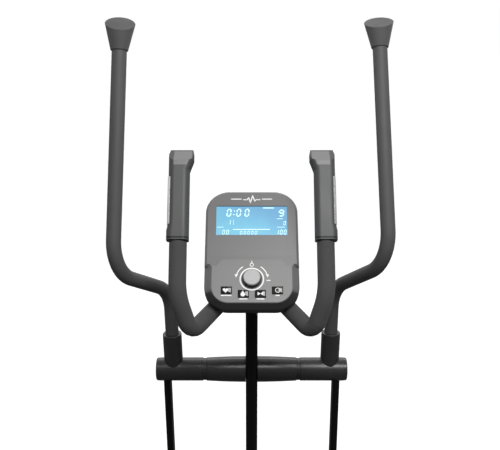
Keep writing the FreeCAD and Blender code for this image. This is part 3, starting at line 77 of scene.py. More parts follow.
class Graph:
    """A material's shader graph, built step by step over the object's own coordinates."""

    def __init__(self, name):
        self.material = bpy.data.materials.new(name)
        self.material.use_nodes = True
        self.tree = self.material.node_tree
        self.shader = self.tree.nodes["Principled BSDF"]
        self.place = self.add("ShaderNodeTexCoord").outputs["Object"]
        self.normal = None

    def add(self, kind, **settings):
        node = self.tree.nodes.new(kind)
        for key, setting in settings.items():
            setattr(node, key, setting)
        return node

    def feed(self, socket, given):
        if isinstance(given, bpy.types.NodeSocket):
            self.tree.links.new(given, socket)
        else:
            socket.default_value = given

    def stretched(self, scale, turn=(0, 0, 0), shift=(0, 0, 0)):
        """Object coordinates turned, then scaled, for patterns that run one way."""
        turned = self.add("ShaderNodeMapping", vector_type="POINT")
        self.feed(turned.inputs["Vector"], self.place)
        turned.inputs["Location"].default_value = shift
        turned.inputs["Rotation"].default_value = turn
        sized = self.add("ShaderNodeMapping", vector_type="POINT")
        self.feed(sized.inputs["Vector"], turned.outputs[0])
        sized.inputs["Scale"].default_value = scale
        return sized.outputs[0]

    def noise(self, scale, detail=3.0, roughness=0.5, place=None):
        node = self.add("ShaderNodeTexNoise")
        self.feed(node.inputs["Vector"], place or self.place)
        node.inputs["Scale"].default_value = scale
        node.inputs["Detail"].default_value = detail
        node.inputs["Roughness"].default_value = roughness
        return node.outputs["Fac"]

    def cells(self, scale, feature="F1"):
        node = self.add("ShaderNodeTexVoronoi", feature=feature)
        self.feed(node.inputs["Vector"], self.place)
        node.inputs["Scale"].default_value = scale
        return node.outputs["Distance"]

    def span(self, given, low, high, to_low=0.0, to_high=1.0):
        node = self.add("ShaderNodeMapRange")
        self.feed(node.inputs["Value"], given)
        node.inputs["From Min"].default_value = low
        node.inputs["From Max"].default_value = high
        node.inputs["To Min"].default_value = to_low
        node.inputs["To Max"].default_value = to_high
        return node.outputs["Result"]

    def sum(self, operation, first, second=0.0):
        node = self.add("ShaderNodeMath", operation=operation)
        self.feed(node.inputs[0], first)
        self.feed(node.inputs[1], second)
        return node.outputs[0]

    def along(self, direction, origin=(0, 0, 0)):
        """How far a point lies along a direction from an origin, in metres."""
        moved = self.add("ShaderNodeVectorMath", operation="SUBTRACT")
        self.feed(moved.inputs[0], self.place)
        moved.inputs[1].default_value = origin
        dot = self.add("ShaderNodeVectorMath", operation="DOT_PRODUCT")
        self.feed(dot.inputs[0], moved.outputs[0])
        dot.inputs[1].default_value = direction
        return dot.outputs["Value"]

    def facing(self, direction):
        """How far the surface faces a direction, in the object's own axes."""
        coordinates = self.add("ShaderNodeTexCoord")
        dot = self.add("ShaderNodeVectorMath", operation="DOT_PRODUCT")
        self.feed(dot.inputs[0], coordinates.outputs["Normal"])
        dot.inputs[1].default_value = direction
        return dot.outputs["Value"]

    def blend(self, factor, first, second):
        node = self.add("ShaderNodeMix", data_type="RGBA")
        self.feed(node.inputs["Factor"], factor)
        self.feed(node.inputs["A"], colour(first))
        self.feed(node.inputs["B"], colour(second))
        return node.outputs["Result"]

    def rounding(self, radius):
        """Shading normal that rounds edges off by a radius, in metres."""
        node = self.add("ShaderNodeBevel", samples=4)
        node.inputs["Radius"].default_value = radius
        self.normal = node.outputs["Normal"]

    def edges(self, radius):
        """One on outer and inner edges, zero on faces."""
        wide = self.add("ShaderNodeBevel", samples=4)
        wide.inputs["Radius"].default_value = radius
        plain = self.add("ShaderNodeNewGeometry")
        dot = self.add("ShaderNodeVectorMath", operation="DOT_PRODUCT")
        self.feed(dot.inputs[0], wide.outputs["Normal"])
        self.feed(dot.inputs[1], plain.outputs["Normal"])
        bend = self.sum("SUBTRACT", 1.0, dot.outputs["Value"])
        return self.span(bend, EDGE_BEND_LOW, EDGE_BEND_HIGH)

    def raise_by(self, height, distance):
        """Bump of a height pattern, on top of the normal so far."""
        node = self.add("ShaderNodeBump")
        self.feed(node.inputs["Height"], height)
        node.inputs["Distance"].default_value = distance
        node.inputs["Strength"].default_value = 1.0
        if self.normal is not None:
            self.feed(node.inputs["Normal"], self.normal)
        self.normal = node.outputs["Normal"]

    def done(self, base, roughness, **fixed):
        """Feeds the shader. The fixed values sit on its own sockets."""
        self.feed(self.shader.inputs["Base Color"], colour(base))
        self.feed(self.shader.inputs["Roughness"], roughness)
        if self.normal is not None:
            self.feed(self.shader.inputs["Normal"], self.normal)
        for key, setting in fixed.items():
            self.feed(self.shader.inputs[key.replace("_", " ")], colour(setting))
        return self.material


def colour(given):
    """Three numbers become a colour with full alpha; anything else passes through."""
    if isinstance(given, (tuple, list)) and len(given) == 3:
        return (*given, 1.0)
    return given


def shaded(base, by):
    return tuple(min(1.0, part * by) for part in base)


# ---------------------------------------------------------------- finishes

def moulded(name, base, roughness, grain=0.8, depth=0.05, wear=0.25, rounding=0.8, **fixed):
    """Moulded plastic: spark-eroded grain, slow tone changes and edges rubbed lighter.
    Grain size, depth and rounding are in millimetres."""
    graph = Graph(name)
    cloud = graph.noise(11, 4)
    speckle = graph.noise(1000 / grain, 2, 0.6)
    pits = graph.cells(700 / grain)
    tone = graph.blend(cloud, shaded(base, 0.86), shaded(base, 1.16))
    rub = graph.noise(85, 5, 0.65)
    worn = graph.sum("MULTIPLY", graph.edges(1.1 * MM), graph.span(rub, 0.42, 0.7, 0, wear))
    tone = graph.blend(worn, tone, shaded(base, 2.6))
    gloss = graph.sum("ADD", graph.span(cloud, 0.3, 0.7, roughness - 0.05, roughness + 0.05),
                      graph.span(speckle, 0.3, 0.7, -0.04, 0.04))
    graph.rounding(rounding * MM)
    graph.raise_by(speckle, depth * MM)
    graph.raise_by(pits, depth * 0.5 * MM)
    return graph.done(tone, gloss, **fixed)


def painted(name, base, roughness, peel=2.2, depth=0.04, wear=0.35, **fixed):
    """Powder-coated steel: orange peel, faint dust and rubbed edges."""
    graph = Graph(name)
    cloud = graph.noise(7, 5, 0.6)
    skin = graph.noise(1000 / peel, 2, 0.45)
    fine = graph.noise(2600, 1)
    tone = graph.blend(cloud, shaded(base, 0.85), shaded(base, 1.18))
    rub = graph.noise(60, 6, 0.7)
    worn = graph.sum("MULTIPLY", graph.edges(1.4 * MM), graph.span(rub, 0.45, 0.75, 0, wear))
    tone = graph.blend(worn, tone, shaded(base, 3.0))
    scuff = graph.span(graph.noise(24, 6, 0.75), 0.45, 0.8, 0, 0.12)
    gloss = graph.sum("ADD", scuff,
                      graph.span(skin, 0.3, 0.7, roughness - 0.04, roughness + 0.05))
    graph.rounding(1.0 * MM)
    graph.raise_by(skin, depth * MM)
    graph.raise_by(fine, 0.01 * MM)
    return graph.done(tone, gloss, **fixed)


def foam(name, base):
    """Closed-cell foam: fine cells with scattered larger pores, and a dull bloom."""
    graph = Graph(name)
    pores = graph.cells(950)
    bubbles = graph.cells(2300)
    cloud = graph.noise(16, 5, 0.6)
    tone = graph.blend(cloud, shaded(base, 0.82), shaded(base, 1.2))
    tone = graph.blend(graph.span(pores, 0.0, 0.35, 0.35, 0.0), tone, shaded(base, 0.5))
    gloss = graph.span(cloud, 0.3, 0.7, 0.82, 0.95)
    graph.raise_by(graph.noise(70, 3), 0.5 * MM)
    graph.raise_by(pores, 0.16 * MM)
    graph.raise_by(bubbles, 0.06 * MM)
    return graph.done(tone, gloss, Sheen_Weight=0.08, Sheen_Roughness=0.5,
                      Specular_IOR_Level=0.25)


def rubber(name, base):
    """Matt rubber with a fine leathery grain, and painted shade darkening the slanted top."""
    graph = Graph(name)
    grain = graph.cells(620, "SMOOTH_F1")
    cloud = graph.noise(20, 4)
    tone = graph.blend(cloud, shaded(base, 0.85), shaded(base, 1.15))
    rub = graph.sum("MULTIPLY", graph.edges(2 * MM), graph.noise(90, 4))
    tone = graph.blend(rub, tone, shaded(base, 1.8))
    # Painted shade: the slanted top, where it faces up, is darkened to half the base tone.
    top = graph.span(graph.facing(CAP_OUT), 0.75, 0.92, 0.0, 1.0)
    tone = graph.blend(top, tone, shaded(base, 0.5))
    gloss = graph.span(cloud, 0.3, 0.7, 0.62, 0.78)
    graph.rounding(1.5 * MM)
    graph.raise_by(grain, 0.12 * MM)
    return graph.done(tone, gloss, Sheen_Weight=0.15, Specular_IOR_Level=0.35)


def brushed(name, base, roughness, turn=(0, 0, 0), scale=(900, 900, 14)):
    """Metal brushed one way, with faint fingerprints."""
    graph = Graph(name)
    lines = graph.noise(1.0, 3, 0.7, graph.stretched(scale, turn))
    prints = graph.noise(48, 5, 0.7)
    tone = graph.blend(lines, shaded(base, 0.8), shaded(base, 1.12))
    gloss = graph.sum("ADD", graph.span(lines, 0.3, 0.7, roughness - 0.08, roughness + 0.08),
                      graph.span(prints, 0.5, 0.75, 0, 0.12))
    graph.rounding(0.6 * MM)
    graph.raise_by(lines, 0.02 * MM)
    return graph.done(tone, gloss, Metallic=1.0)


def cast_iron(name, base):
    """Sand-cast iron: lumps, and the fine pitting of the mould."""
    graph = Graph(name)
    lumps = graph.noise(240, 6, 0.65)
    sand = graph.cells(900)
    tone = graph.blend(lumps, shaded(base, 0.7), shaded(base, 1.5))
    gloss = graph.span(lumps, 0.3, 0.7, 0.45, 0.7)
    graph.rounding(1.2 * MM)
    graph.raise_by(lumps, 0.35 * MM)
    graph.raise_by(sand, 0.1 * MM)
    return graph.done(tone, gloss, Metallic=0.8)


def ribbed_belt(name, base):
    """Poly-V belt: lengthwise ribs across its width."""
    graph = Graph(name)
    ribs = graph.add("ShaderNodeTexWave", bands_direction="X")
    graph.feed(ribs.inputs["Vector"], graph.place)
    ribs.inputs["Scale"].default_value = 135
    ribs.inputs["Distortion"].default_value = 0.0
    wave = ribs.outputs["Fac"]
    dust = graph.noise(130, 5, 0.7)
    tone = graph.blend(dust, shaded(base, 0.8), shaded(base, 1.7))
    graph.raise_by(wave, 0.8 * MM)
    return graph.done(tone, graph.span(dust, 0.3, 0.7, 0.6, 0.8))


def shell_grey(name):
    """Console shell: fine grain, a grey face with a painted light gradient, painted shade on the
    bevels, the near-black lower rim and the band and step above the control panel, and a paler panel
    as painted light."""
    graph = Graph(name)
    face = (0.156, 0.156, 0.155)
    cloud = graph.noise(9, 4)
    speckle = graph.noise(1500, 2, 0.6)
    # Painted light: the face lighter toward the lower right and darker toward the upper left, mixed
    # with a random cloud.
    slope = graph.sum("SUBTRACT", graph.along(CONSOLE_X, CONSOLE.translation),
                      graph.sum("MULTIPLY", graph.along(CONSOLE_UP, CONSOLE.translation), 0.6))
    shade = graph.sum("ADD", graph.span(slope, -160 * MM, 120 * MM, -0.2, 1.0),
                      graph.span(cloud, 0.3, 0.7, -0.15, 0.15))
    tone = graph.blend(shade, shaded(face, 0.86), shaded(face, 1.16))
    out = graph.facing(CONSOLE_OUT)
    # Painted shade: bevels and sides that turn away from the face are darkened.
    side = graph.span(out, 0.80, 0.95, 1.0, 0.0)
    tone = graph.blend(side, tone, (0.125, 0.125, 0.124))
    height = graph.along(CONSOLE_UP, CONSOLE.translation)
    # Painted shade: the lower rim's bevel and underside turned near-black.
    low = graph.span(height, -106 * MM, -112 * MM)
    tone = graph.blend(graph.sum("MULTIPLY", low, graph.span(out, 0.90, 0.97, 1.0, 0.0)),
                       tone, (0.024, 0.024, 0.0245))
    # Painted shade: a slightly darker band under the step above the control panel.
    painted_ledge_shade = graph.span(height, -22 * MM, -26 * MM, 0.0, 0.16)
    tone = graph.blend(graph.sum("MULTIPLY", painted_ledge_shade, graph.span(height, -54 * MM, -50 * MM)),
                       tone, (0.10, 0.10, 0.0995))
    # Painted light: the raised control panel is paler, for the light it catches from above.
    panel = graph.span(graph.along(CONSOLE_OUT, CONSOLE.translation), 1.2 * MM, 1.6 * MM)
    tone = graph.blend(graph.sum("MULTIPLY", panel, 0.7), tone, (0.188, 0.188, 0.1865))
    # Painted shade: the steep walls of the step above the control panel, near the middle, are
    # near-black.
    across = graph.sum("ABSOLUTE", graph.along(CONSOLE_X, CONSOLE.translation))
    step = graph.sum("MULTIPLY", graph.span(out, 0.35, 0.15), graph.span(across, 88 * MM, 84 * MM))
    tone = graph.blend(step, tone, (0.03, 0.03, 0.03))
    gloss = graph.sum("ADD", graph.span(cloud, 0.3, 0.7, 0.42, 0.5),
                      graph.span(speckle, 0.3, 0.7, -0.05, 0.05))
    graph.rounding(1.0 * MM)
    graph.raise_by(speckle, 0.03 * MM)
    return graph.done(tone, gloss)


def knob_grey(name):
    """Selector knob: satin silver face with a spun finish over a dark ribbed skirt."""
    graph = Graph(name)
    out = graph.facing(CONSOLE_OUT)
    centre = middle("dial")
    face = graph.span(graph.along(CONSOLE_OUT, centre), 3.6 * MM, 3.8 * MM)
    spun = graph.noise(1.0, 2, 0.6, graph.stretched((160, 160, 2600), (-CONSOLE_TILT, 0, 0)))
    silver = graph.blend(spun, (0.34, 0.34, 0.34), (0.41, 0.41, 0.41))
    around = graph.add("ShaderNodeTexGradient", gradient_type="RADIAL")
    graph.feed(around.inputs["Vector"],
               graph.stretched((1, 1, 1), (-CONSOLE_TILT, 0, 0), tuple(-centre)))
    ribs = graph.sum("FRACT", graph.sum("MULTIPLY", around.outputs["Fac"], 48.0))
    ribs = graph.sum("PINGPONG", ribs, 0.5)
    tone = graph.blend(face, (0.006, 0.006, 0.0062), silver)
    graph.rounding(0.3 * MM)
    graph.raise_by(graph.sum("MULTIPLY", ribs, graph.span(out, 0.3, 0.5, 1, 0)), 1.2 * MM)
    return graph.done(tone, graph.span(spun, 0.3, 0.7, 0.32, 0.42))


def grip_grey(name):
    """Pulse grip: grained grey, a paler patch of painted light on the top facet, and a dark groove
    by its foot.
    """
    graph = Graph(name)
    face = (0.053, 0.055, 0.054)
    cloud = graph.noise(11, 4)
    speckle = graph.noise(1250, 2, 0.6)
    tone = graph.blend(cloud, shaded(face, 0.9), shaded(face, 1.1))
    up = graph.along(BAR_UP, GRIP_START)
    across = graph.sum("ABSOLUTE", graph.along(CONSOLE_X, GRIP_START))
    # Painted light: a paler patch where the top facet faces up, within a window across and along the
    # grip.
    painted_facet_light = graph.sum("MULTIPLY", graph.span(across, 129 * MM, 131 * MM),
                      graph.span(across, 170 * MM, 168 * MM))
    painted_facet_light = graph.sum("MULTIPLY", painted_facet_light, graph.span(graph.facing(FACET_OUT), 0.65, 0.7))
    painted_facet_light = graph.sum("MULTIPLY", painted_facet_light, graph.span(up, GRIP_LENGTH - 2 * MM,
                                                    GRIP_LENGTH - 3.5 * MM))
    painted_facet_light = graph.sum("MULTIPLY", painted_facet_light, graph.span(up, GRIP_LENGTH - 40 * MM,
                                                    GRIP_LENGTH - 38.5 * MM))
    tone = graph.blend(painted_facet_light, tone, (0.165, 0.165, 0.164))
    groove = graph.sum("MULTIPLY", graph.span(up, 2.2 * MM, 3 * MM),
                       graph.span(up, 6.5 * MM, 5.5 * MM))
    tone = graph.blend(groove, tone, (0.006, 0.006, 0.006))
    worn = graph.sum("MULTIPLY", graph.edges(1.1 * MM),
                     graph.span(graph.noise(85, 5, 0.65), 0.42, 0.7, 0, 0.25))
    tone = graph.blend(worn, tone, shaded(face, 2.2))
    gloss = graph.sum("ADD", graph.span(cloud, 0.3, 0.7, 0.45, 0.54),
                      graph.span(speckle, 0.3, 0.7, -0.04, 0.04))
    graph.rounding(1.2 * MM)
    graph.raise_by(speckle, 0.05 * MM)
    graph.raise_by(graph.sum("SUBTRACT", 1.0, groove), 0.8 * MM)
    return graph.done(tone, gloss)


def backlit(name):
    """Blue backlight, paler towards the lower left, behind a fine cell grid."""
    graph = Graph(name)
    across = graph.along(CONSOLE_X, CONSOLE.translation)
    up = graph.along(CONSOLE_UP, CONSOLE.translation)
    slope = graph.sum("ADD", graph.sum("MULTIPLY", across, -1.5),
                      graph.sum("MULTIPLY", up, -6.0))
    glow = graph.noise(14, 3)
    share = graph.sum("ADD", graph.span(slope, -0.62, -0.14), graph.span(glow, 0.3, 0.7, -0.2, 0.2))
    tone = graph.blend(share, (0.205, 0.52, 0.83), (0.27, 0.76, 1.0))
    for position in (across, up):
        steps = graph.sum("FRACT", graph.sum("MULTIPLY", graph.sum("ADD", position, 1.0), 1100.0))
        tone = graph.blend(graph.span(steps, 0.82, 0.94, 0.0, 0.14), tone, (0.10, 0.30, 0.62))
    graph.feed(graph.shader.inputs["Emission Color"], tone)
    return graph.done((0.02, 0.05, 0.08), 0.35, Emission_Strength=0.96)


def printed(name, base, glow=0.0):
    """Screen-printed ink, lit segments and the near-black film of a painted shadow: a little uneven,
    slightly raised at its dots.
    """
    graph = Graph(name)
    dots = graph.cells(2400)
    blotch = graph.noise(210, 4)
    tone = graph.blend(blotch, shaded(base, 0.9), base)
    graph.raise_by(dots, 0.01 * MM)
    material = graph.done(tone, graph.span(blotch, 0.3, 0.7, 0.4, 0.55))
    if glow:
        graph.feed(graph.shader.inputs["Emission Color"], tone)
        graph.shader.inputs["Emission Strength"].default_value = glow
    return material


def clear(name):
    """Thin acrylic window with faint smears."""
    graph = Graph(name)
    smear = graph.noise(30, 6, 0.75, graph.stretched((1, 3, 1), (0.3, 0, 0.4)))
    return graph.done((0.02, 0.03, 0.04), graph.span(smear, 0.4, 0.8, 0.04, 0.16), Alpha=0.10,
                      Specular_IOR_Level=0.5)


BRUSH_TURN = (BAR_LEAN, 0, 0)
FINISHES = {
    "black_frame": painted("black_frame_paint", (0.0058, 0.0058, 0.0060), 0.42,
                           Specular_IOR_Level=0.12),
    "dark_tube": painted("dark_tube_paint", (0.076, 0.076, 0.0775), 0.55, peel=1.2, depth=0.05,
                         Specular_IOR_Level=0.3),
    "pivot_plastic": moulded("pivot_plastic_grain", (0.026, 0.026, 0.0265), 0.3, depth=0.02),
    "cap_rubber": rubber("cap_rubber_grain_shaded_top", (0.072, 0.072, 0.074)),
    "grip_foam": foam("grip_foam_cells", (0.062, 0.062, 0.063)),
    "grip_plastic": grip_grey("grip_plastic_grain_lit_facet"),
    "sensor_metal": brushed("sensor_metal_brushed", (0.85, 0.85, 0.86), 0.3, BRUSH_TURN),
    "console_plastic": shell_grey("console_plastic_grain_painted_light"),
    "console_dark": moulded("console_dark_grain", (0.018, 0.018, 0.0185), 0.45),
    "clear_lens": clear("clear_lens_window"),
    "display": backlit("display_backlight"),
    "dial_plastic": knob_grey("dial_plastic_spun"),
    "button_plastic": moulded("button_plastic_gloss", (0.004, 0.004, 0.0042), 0.5, depth=0.01,
                              wear=0.1, Specular_IOR_Level=0.12),
    "housing_plastic": moulded("housing_plastic_grain", (0.018, 0.018, 0.019), 0.34, depth=0.03),
    "foot_plastic": moulded("foot_plastic_grain", (0.02, 0.02, 0.02), 0.6, grain=1.2, depth=0.09),
    "pedal_plastic": moulded("pedal_plastic_grain", (0.028, 0.028, 0.028), 0.62, grain=1.5,
                             depth=0.14),
    "wheel_plastic": moulded("wheel_plastic_grain", (0.025, 0.025, 0.026), 0.5),
    "steel": brushed("steel_turned", (0.5, 0.5, 0.51), 0.28, (0, 0, 0), (14, 900, 900)),
    "zinc_fasteners": brushed("zinc_plate", (0.62, 0.62, 0.6), 0.35, (0, 0, 0), (400, 400, 400)),
    "iron": cast_iron("cast_iron_skin", (0.10, 0.10, 0.105)),
    "pulley_plastic": moulded("pulley_plastic_grain", (0.04, 0.04, 0.04), 0.5),
    "belt_rubber": ribbed_belt("belt_rubber_ribs", (0.015, 0.015, 0.015)),
    "bush_nylon": moulded("bush_nylon_grain", (0.022, 0.022, 0.022), 0.4, depth=0.02),
}
# Painted shade: the swing hubs get a darker, glossier copy of the dark tube paint, darkened for the
# shade lower on the arms.
SHADED_HUB_PAINT = painted("swing_hub_shaded_paint", (0.027, 0.027, 0.0275), 0.3, peel=1.2, depth=0.02)
WHITE_INK = printed("white_ink", (0.84, 0.84, 0.83))
# Painted shadow: the near-black film of the ring under the knob.
SHADOW_BLACK = printed("painted_shadow_black", (0.006, 0.006, 0.006))
GREY_INK = printed("grey_ink", (0.38, 0.38, 0.38))
LIT_SEGMENT = printed("lit_segment", (0.62, 0.89, 0.96), 0.85)

for name, node in NODES.items():
    for place, given in enumerate(node.data.materials):
        finish = FINISHES[given.name.split(".")[0]]
        node.data.materials[place] = SHADED_HUB_PAINT if name.startswith("swing_hub") else finish


# ---------------------------------------------------------------- meshes

def add_piece(name, mesh, material, body):
    mesh.materials.append(material)
    piece = bpy.data.objects.new(name, mesh)
    bpy.context.scene.collection.objects.link(piece)
    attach(piece, body)
    return piece


def bent_line(points, radii, spacing):
    """Points along straight runs joined by tangent arcs, one radius for each corner."""
    line = [points[0]]
    for before, corner, after, radius in zip(points, points[1:], points[2:], radii):
        back = (before - corner).normalized()
        ahead = (after - corner).normalized()
        half = back.angle(ahead) / 2
        reach = radius / math.tan(half)
        centre = corner + (back + ahead).normalized() * (radius / math.sin(half))
        first = corner + back * reach - centre
        last = corner + ahead * reach - centre
        axis = first.cross(last).normalized()
        turn = first.angle(last)
        steps = max(6, round(turn * radius / spacing))
        for step in range(steps + 1):
            line.append(centre + Matrix.Rotation(turn * step / steps, 3, axis) @ first)
    line.append(points[-1])
    spread = [line[0]]
    for first, last in zip(line, line[1:]):
        steps = max(1, round((last - first).length / spacing))
        for step in range(1, steps + 1):
            spread.append(first.lerp(last, step / steps))
    return spread


def ring_frames(line):
    """A steady sideways and upward axis at each point of a line."""
    frames = []
    side = None
    for index, point in enumerate(line):
        before = line[max(0, index - 1)]
        after = line[min(len(line) - 1, index + 1)]
        ahead = (after - before).normalized()
        if side is None:
            side = ahead.orthogonal().normalized()
        side = (side - ahead * side.dot(ahead)).normalized()
        frames.append((point, side, ahead.cross(side)))
    return frames


def tube_mesh(name, line, radii, around=40):
    """A closed tube through a line with its own radius at each point."""
    made = bmesh.new()
    rings = []
    for (point, side, up), radius in zip(ring_frames(line), radii):
        ring = []
        for step in range(around):
            angle = 2 * math.pi * step / around
            offset = side * math.cos(angle) + up * math.sin(angle)
            ring.append(made.verts.new(point + offset * radius))
        rings.append(ring)
    for first, last in zip(rings, rings[1:]):
        for step in range(around):
            following = (step + 1) % around
            made.faces.new((first[step], first[following], last[following], last[step]))
    made.faces.new(rings[0][::-1])
    made.faces.new(rings[-1])
    bmesh.ops.recalc_face_normals(made, faces=made.faces)
    mesh = bpy.data.meshes.new(name)
    made.to_mesh(mesh)
    made.free()
    for face in mesh.polygons:
        face.use_smooth = True
    return mesh


def plates_mesh(name, shapes, base, thickness, matrix):
    """Flat outlines raised by a thickness: print, display segments and a painted shadow. Ring
    outlines come as a pair of loops, outer and inner."""
    made = bmesh.new()
    for shape in shapes:
        if isinstance(shape, tuple):
            outer = [made.verts.new((*point, base)) for point in shape[0]]
            inner = [made.verts.new((*point, base)) for point in shape[1]]
            count = len(outer)
            faces = [made.faces.new((outer[i], outer[(i + 1) % count], inner[(i + 1) % count],
                                     inner[i])) for i in range(count)]
        else:
            faces = [made.faces.new([made.verts.new((*point, base)) for point in shape])]
        raised = bmesh.ops.extrude_face_region(made, geom=faces)
        tops = [item for item in raised["geom"] if isinstance(item, bmesh.types.BMVert)]
        bmesh.ops.translate(made, verts=tops, vec=(0, 0, thickness))
    bmesh.ops.recalc_face_normals(made, faces=made.faces)
    made.transform(matrix)
    mesh = bpy.data.meshes.new(name)
    made.to_mesh(mesh)
    made.free()
    return mesh


# ---------------------------------------------------------------- foam on the fixed bar

FOAM_RADIUS = 19 * MM
LOWER_BEND = 28 * MM
UPPER_BEND = 105 * MM
FOAM_LIP = 4 * MM
CREASED = 55 * MM
CREASE_DEPTH = 0.25 * MM
FOAM_BEGINS = 0.3
UPPER_DROP = 115 * MM
END_GAP = 0.5 * MM
END_SHARES = (0.05, 0.15, 0.3, 0.55)


def foam_radius(along, length, fold):
    """Rounded ends, and soft creases round the fold of the lower bend."""
    lip = min(along, length - along)
    ending = 1.0 if lip >= FOAM_LIP else math.sqrt(max(0.0, 1 - (1 - lip / FOAM_LIP) ** 2))
    core = FOAM_RADIUS - FOAM_LIP
    radius = core + FOAM_LIP * ending
    share = (along - fold) / CREASED + 0.5
    if 0 < share < 1:
        radius -= CREASE_DEPTH * math.sin(math.pi * share) * (1 + math.sin(share * math.pi * 14))
    return radius


def make_foam(name, side):
    """Foam over the fixed bar, from beside the mast, round both bends and up to the grip."""
    mast_end = PIVOT + Vector((4 * side, -10, 256)) * MM
    lower = PIVOT + Vector((131.1 * side, -220.5, 188.9)) * MM
    top = GRIP_START + Vector((157.5 * side, 0, 0)) * MM
    upper = top - BAR_UP * UPPER_DROP
    start = mast_end.lerp(lower, FOAM_BEGINS)
    line = bent_line([start, lower, upper, top - BAR_UP * END_GAP], (LOWER_BEND, UPPER_BEND),
                     2.5 * MM)
    near = [line[0].lerp(line[1], share) for share in END_SHARES]
    far = [line[-1].lerp(line[-2], share) for share in END_SHARES[::-1]]
    line = [line[0], *near, *line[1:-1], *far, line[-1]]
    lengths = [0.0]
    for first, last in zip(line, line[1:]):
        lengths.append(lengths[-1] + (last - first).length)
    fold = (lower - start).length - 6 * MM
    radii = [foam_radius(along, lengths[-1], fold) for along in lengths]
    mesh = tube_mesh(f"foam_sleeve_{name}", line, radii)
    piece = add_piece(f"foam_sleeve_{name}", mesh, FINISHES["grip_foam"], "frame")
    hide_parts(f"bar_foam_{name}")


for side_name, side in SIDES.items():
    make_foam(side_name, side)


# ---------------------------------------------------------------- outlines for print

def disc(x, y, radius, count=40):
    return [(x + radius * math.cos(2 * math.pi * i / count),
             y + radius * math.sin(2 * math.pi * i / count)) for i in range(count)]


def hoop(x, y, outer, inner, count=64):
    return disc(x, y, outer, count), disc(x, y, inner, count)


def bar(x, y, width, height):
    """A strip with rounded ends."""
    radius = min(width, height) / 2
    run = max(0.0, width / 2 - radius)
    rise = max(0.0, height / 2 - radius)
    points = []
    for quarter, (way_x, way_y) in enumerate([(1, 1), (-1, 1), (-1, -1), (1, -1)]):
        for step in range(5):
            angle = math.pi / 2 * (quarter + step / 4)
            points.append((x + way_x * run + radius * math.cos(angle),
                           y + way_y * rise + radius * math.sin(angle)))
    return points


def stroke(points, width):
    """A band of one width along a line of points."""
    left, right = [], []
    for index, point in enumerate(points):
        before = Vector(points[max(0, index - 1)])
        after = Vector(points[min(len(points) - 1, index + 1)])
        ahead = (after - before).normalized()
        across = Vector((-ahead.y, ahead.x)) * width / 2
        left.append(tuple(Vector(point) + across))
        right.append(tuple(Vector(point) - across))
    return left + right[::-1]


def arc_points(x, y, radius, start, end, count=16):
    return [(x + radius * math.cos(math.radians(start + (end - start) * i / count)),
             y + radius * math.sin(math.radians(start + (end - start) * i / count)))
            for i in range(count + 1)]


SEGMENTS = {"0": "abcdef", "1": "bc", "9": "abfgcd"}


def digit(character, x, y, width, height, thick, slant=0.12):
    """The lit segments of one seven-segment digit."""
    half_w, half_h = width / 2 - thick / 2, height / 2 - thick / 2
    corners = {
        "a": ((-half_w, half_h), (half_w, half_h)), "g": ((-half_w, 0), (half_w, 0)),
        "d": ((-half_w, -half_h), (half_w, -half_h)), "f": ((-half_w, half_h), (-half_w, 0)),
        "b": ((half_w, half_h), (half_w, 0)), "e": ((-half_w, 0), (-half_w, -half_h)),
        "c": ((half_w, 0), (half_w, -half_h)),
    }
    shapes = []
    for letter in SEGMENTS[character]:
        start, end = (Vector(corner) for corner in corners[letter])
        ahead = (end - start).normalized()
        across = Vector((-ahead.y, ahead.x)) * thick / 2
        start, end = start + ahead * thick * 0.18, end - ahead * thick * 0.18
        hexagon = [start, start + (ahead * thick / 2) + across, end - (ahead * thick / 2) + across,
                   end, end - (ahead * thick / 2) - across, start + (ahead * thick / 2) - across]
        shapes.append([(x + p.x + slant * p.y, y + p.y) for p in hexagon])
    return shapes


def row_of(digits, x, y, width, height, thick, pitch):
    shapes = []
    for index, character in enumerate(digits):
        shapes += digit(character, x + pitch * index, y, width, height, thick)
    return shapes


def in_metres(shapes):
    """Outlines drawn in millimetres, in metres."""
    scaled = []
    for shape in shapes:
        if isinstance(shape, tuple):
            scaled.append(tuple([(x * MM, y * MM) for x, y in loop] for loop in shape))
        else:
            scaled.append([(x * MM, y * MM) for x, y in shape])
    return scaled


def print_and_shadow_on(name, shapes, height, thickness, material, body="frame"):
    """Raised print and painted shadow on the console, at a height above its face, in millimetres."""
    mesh = plates_mesh(name, in_metres(shapes), height * MM, thickness * MM, CONSOLE)
    return add_piece(name, mesh, material, body)


# ---------------------------------------------------------------- display

DISPLAY_Y = 63


def display_shapes():
    """Clock, level and programme figures, with bars between the fields."""
    y = DISPLAY_Y
    shapes = digit("0", -52, y + 20.9, 11, 20.5, 3.0)
    shapes += row_of("00", -29.8, y + 20.9, 11, 20.5, 3.0, 19)
    shapes += [disc(-39.6, y + 25.4, 1.5, 16), disc(-40.8, y + 16.2, 1.5, 16)]
    shapes += digit("9", 68, y + 20, 13, 18, 3.2)
    shapes += digit("0", 75, y - 5.9, 5.6, 11, 1.5)
    shapes += digit("1", -51, y - 3.6, 6, 13, 1.6)
    shapes += row_of("00", -63.6, y - 28.4, 6.2, 12, 1.7, 9)
    shapes += row_of("100", 58, y - 28.4, 6.2, 12.5, 1.7, 8.8)
    shapes += row_of("00000", -24, y - 30, 5.4, 8.6, 1.3, 8.4)
    shapes += [bar(38.4, y + 33.2, 25.6, 2.6), bar(64, y + 5.4, 14, 1.4),
               bar(-71, y - 15.8, 14.5, 1.4), bar(66, y - 15.8, 18, 1.2),
               bar(-1, y - 21.6, 84, 2.2), bar(-41.6, y - 3.6, 0.9, 13)]
    return shapes


print_and_shadow_on("display_figures", display_shapes(), -3.18, 0.12, LIT_SEGMENT)


# ---------------------------------------------------------------- print, and a painted shadow under the knob, on the shell

DIAL_Y = -82
PANEL_TOP = 3.0
BUTTONS = [(-55.6, -108.5), (-18.5, -116.5), (18.5, -116.5), (55.6, -108.5)]


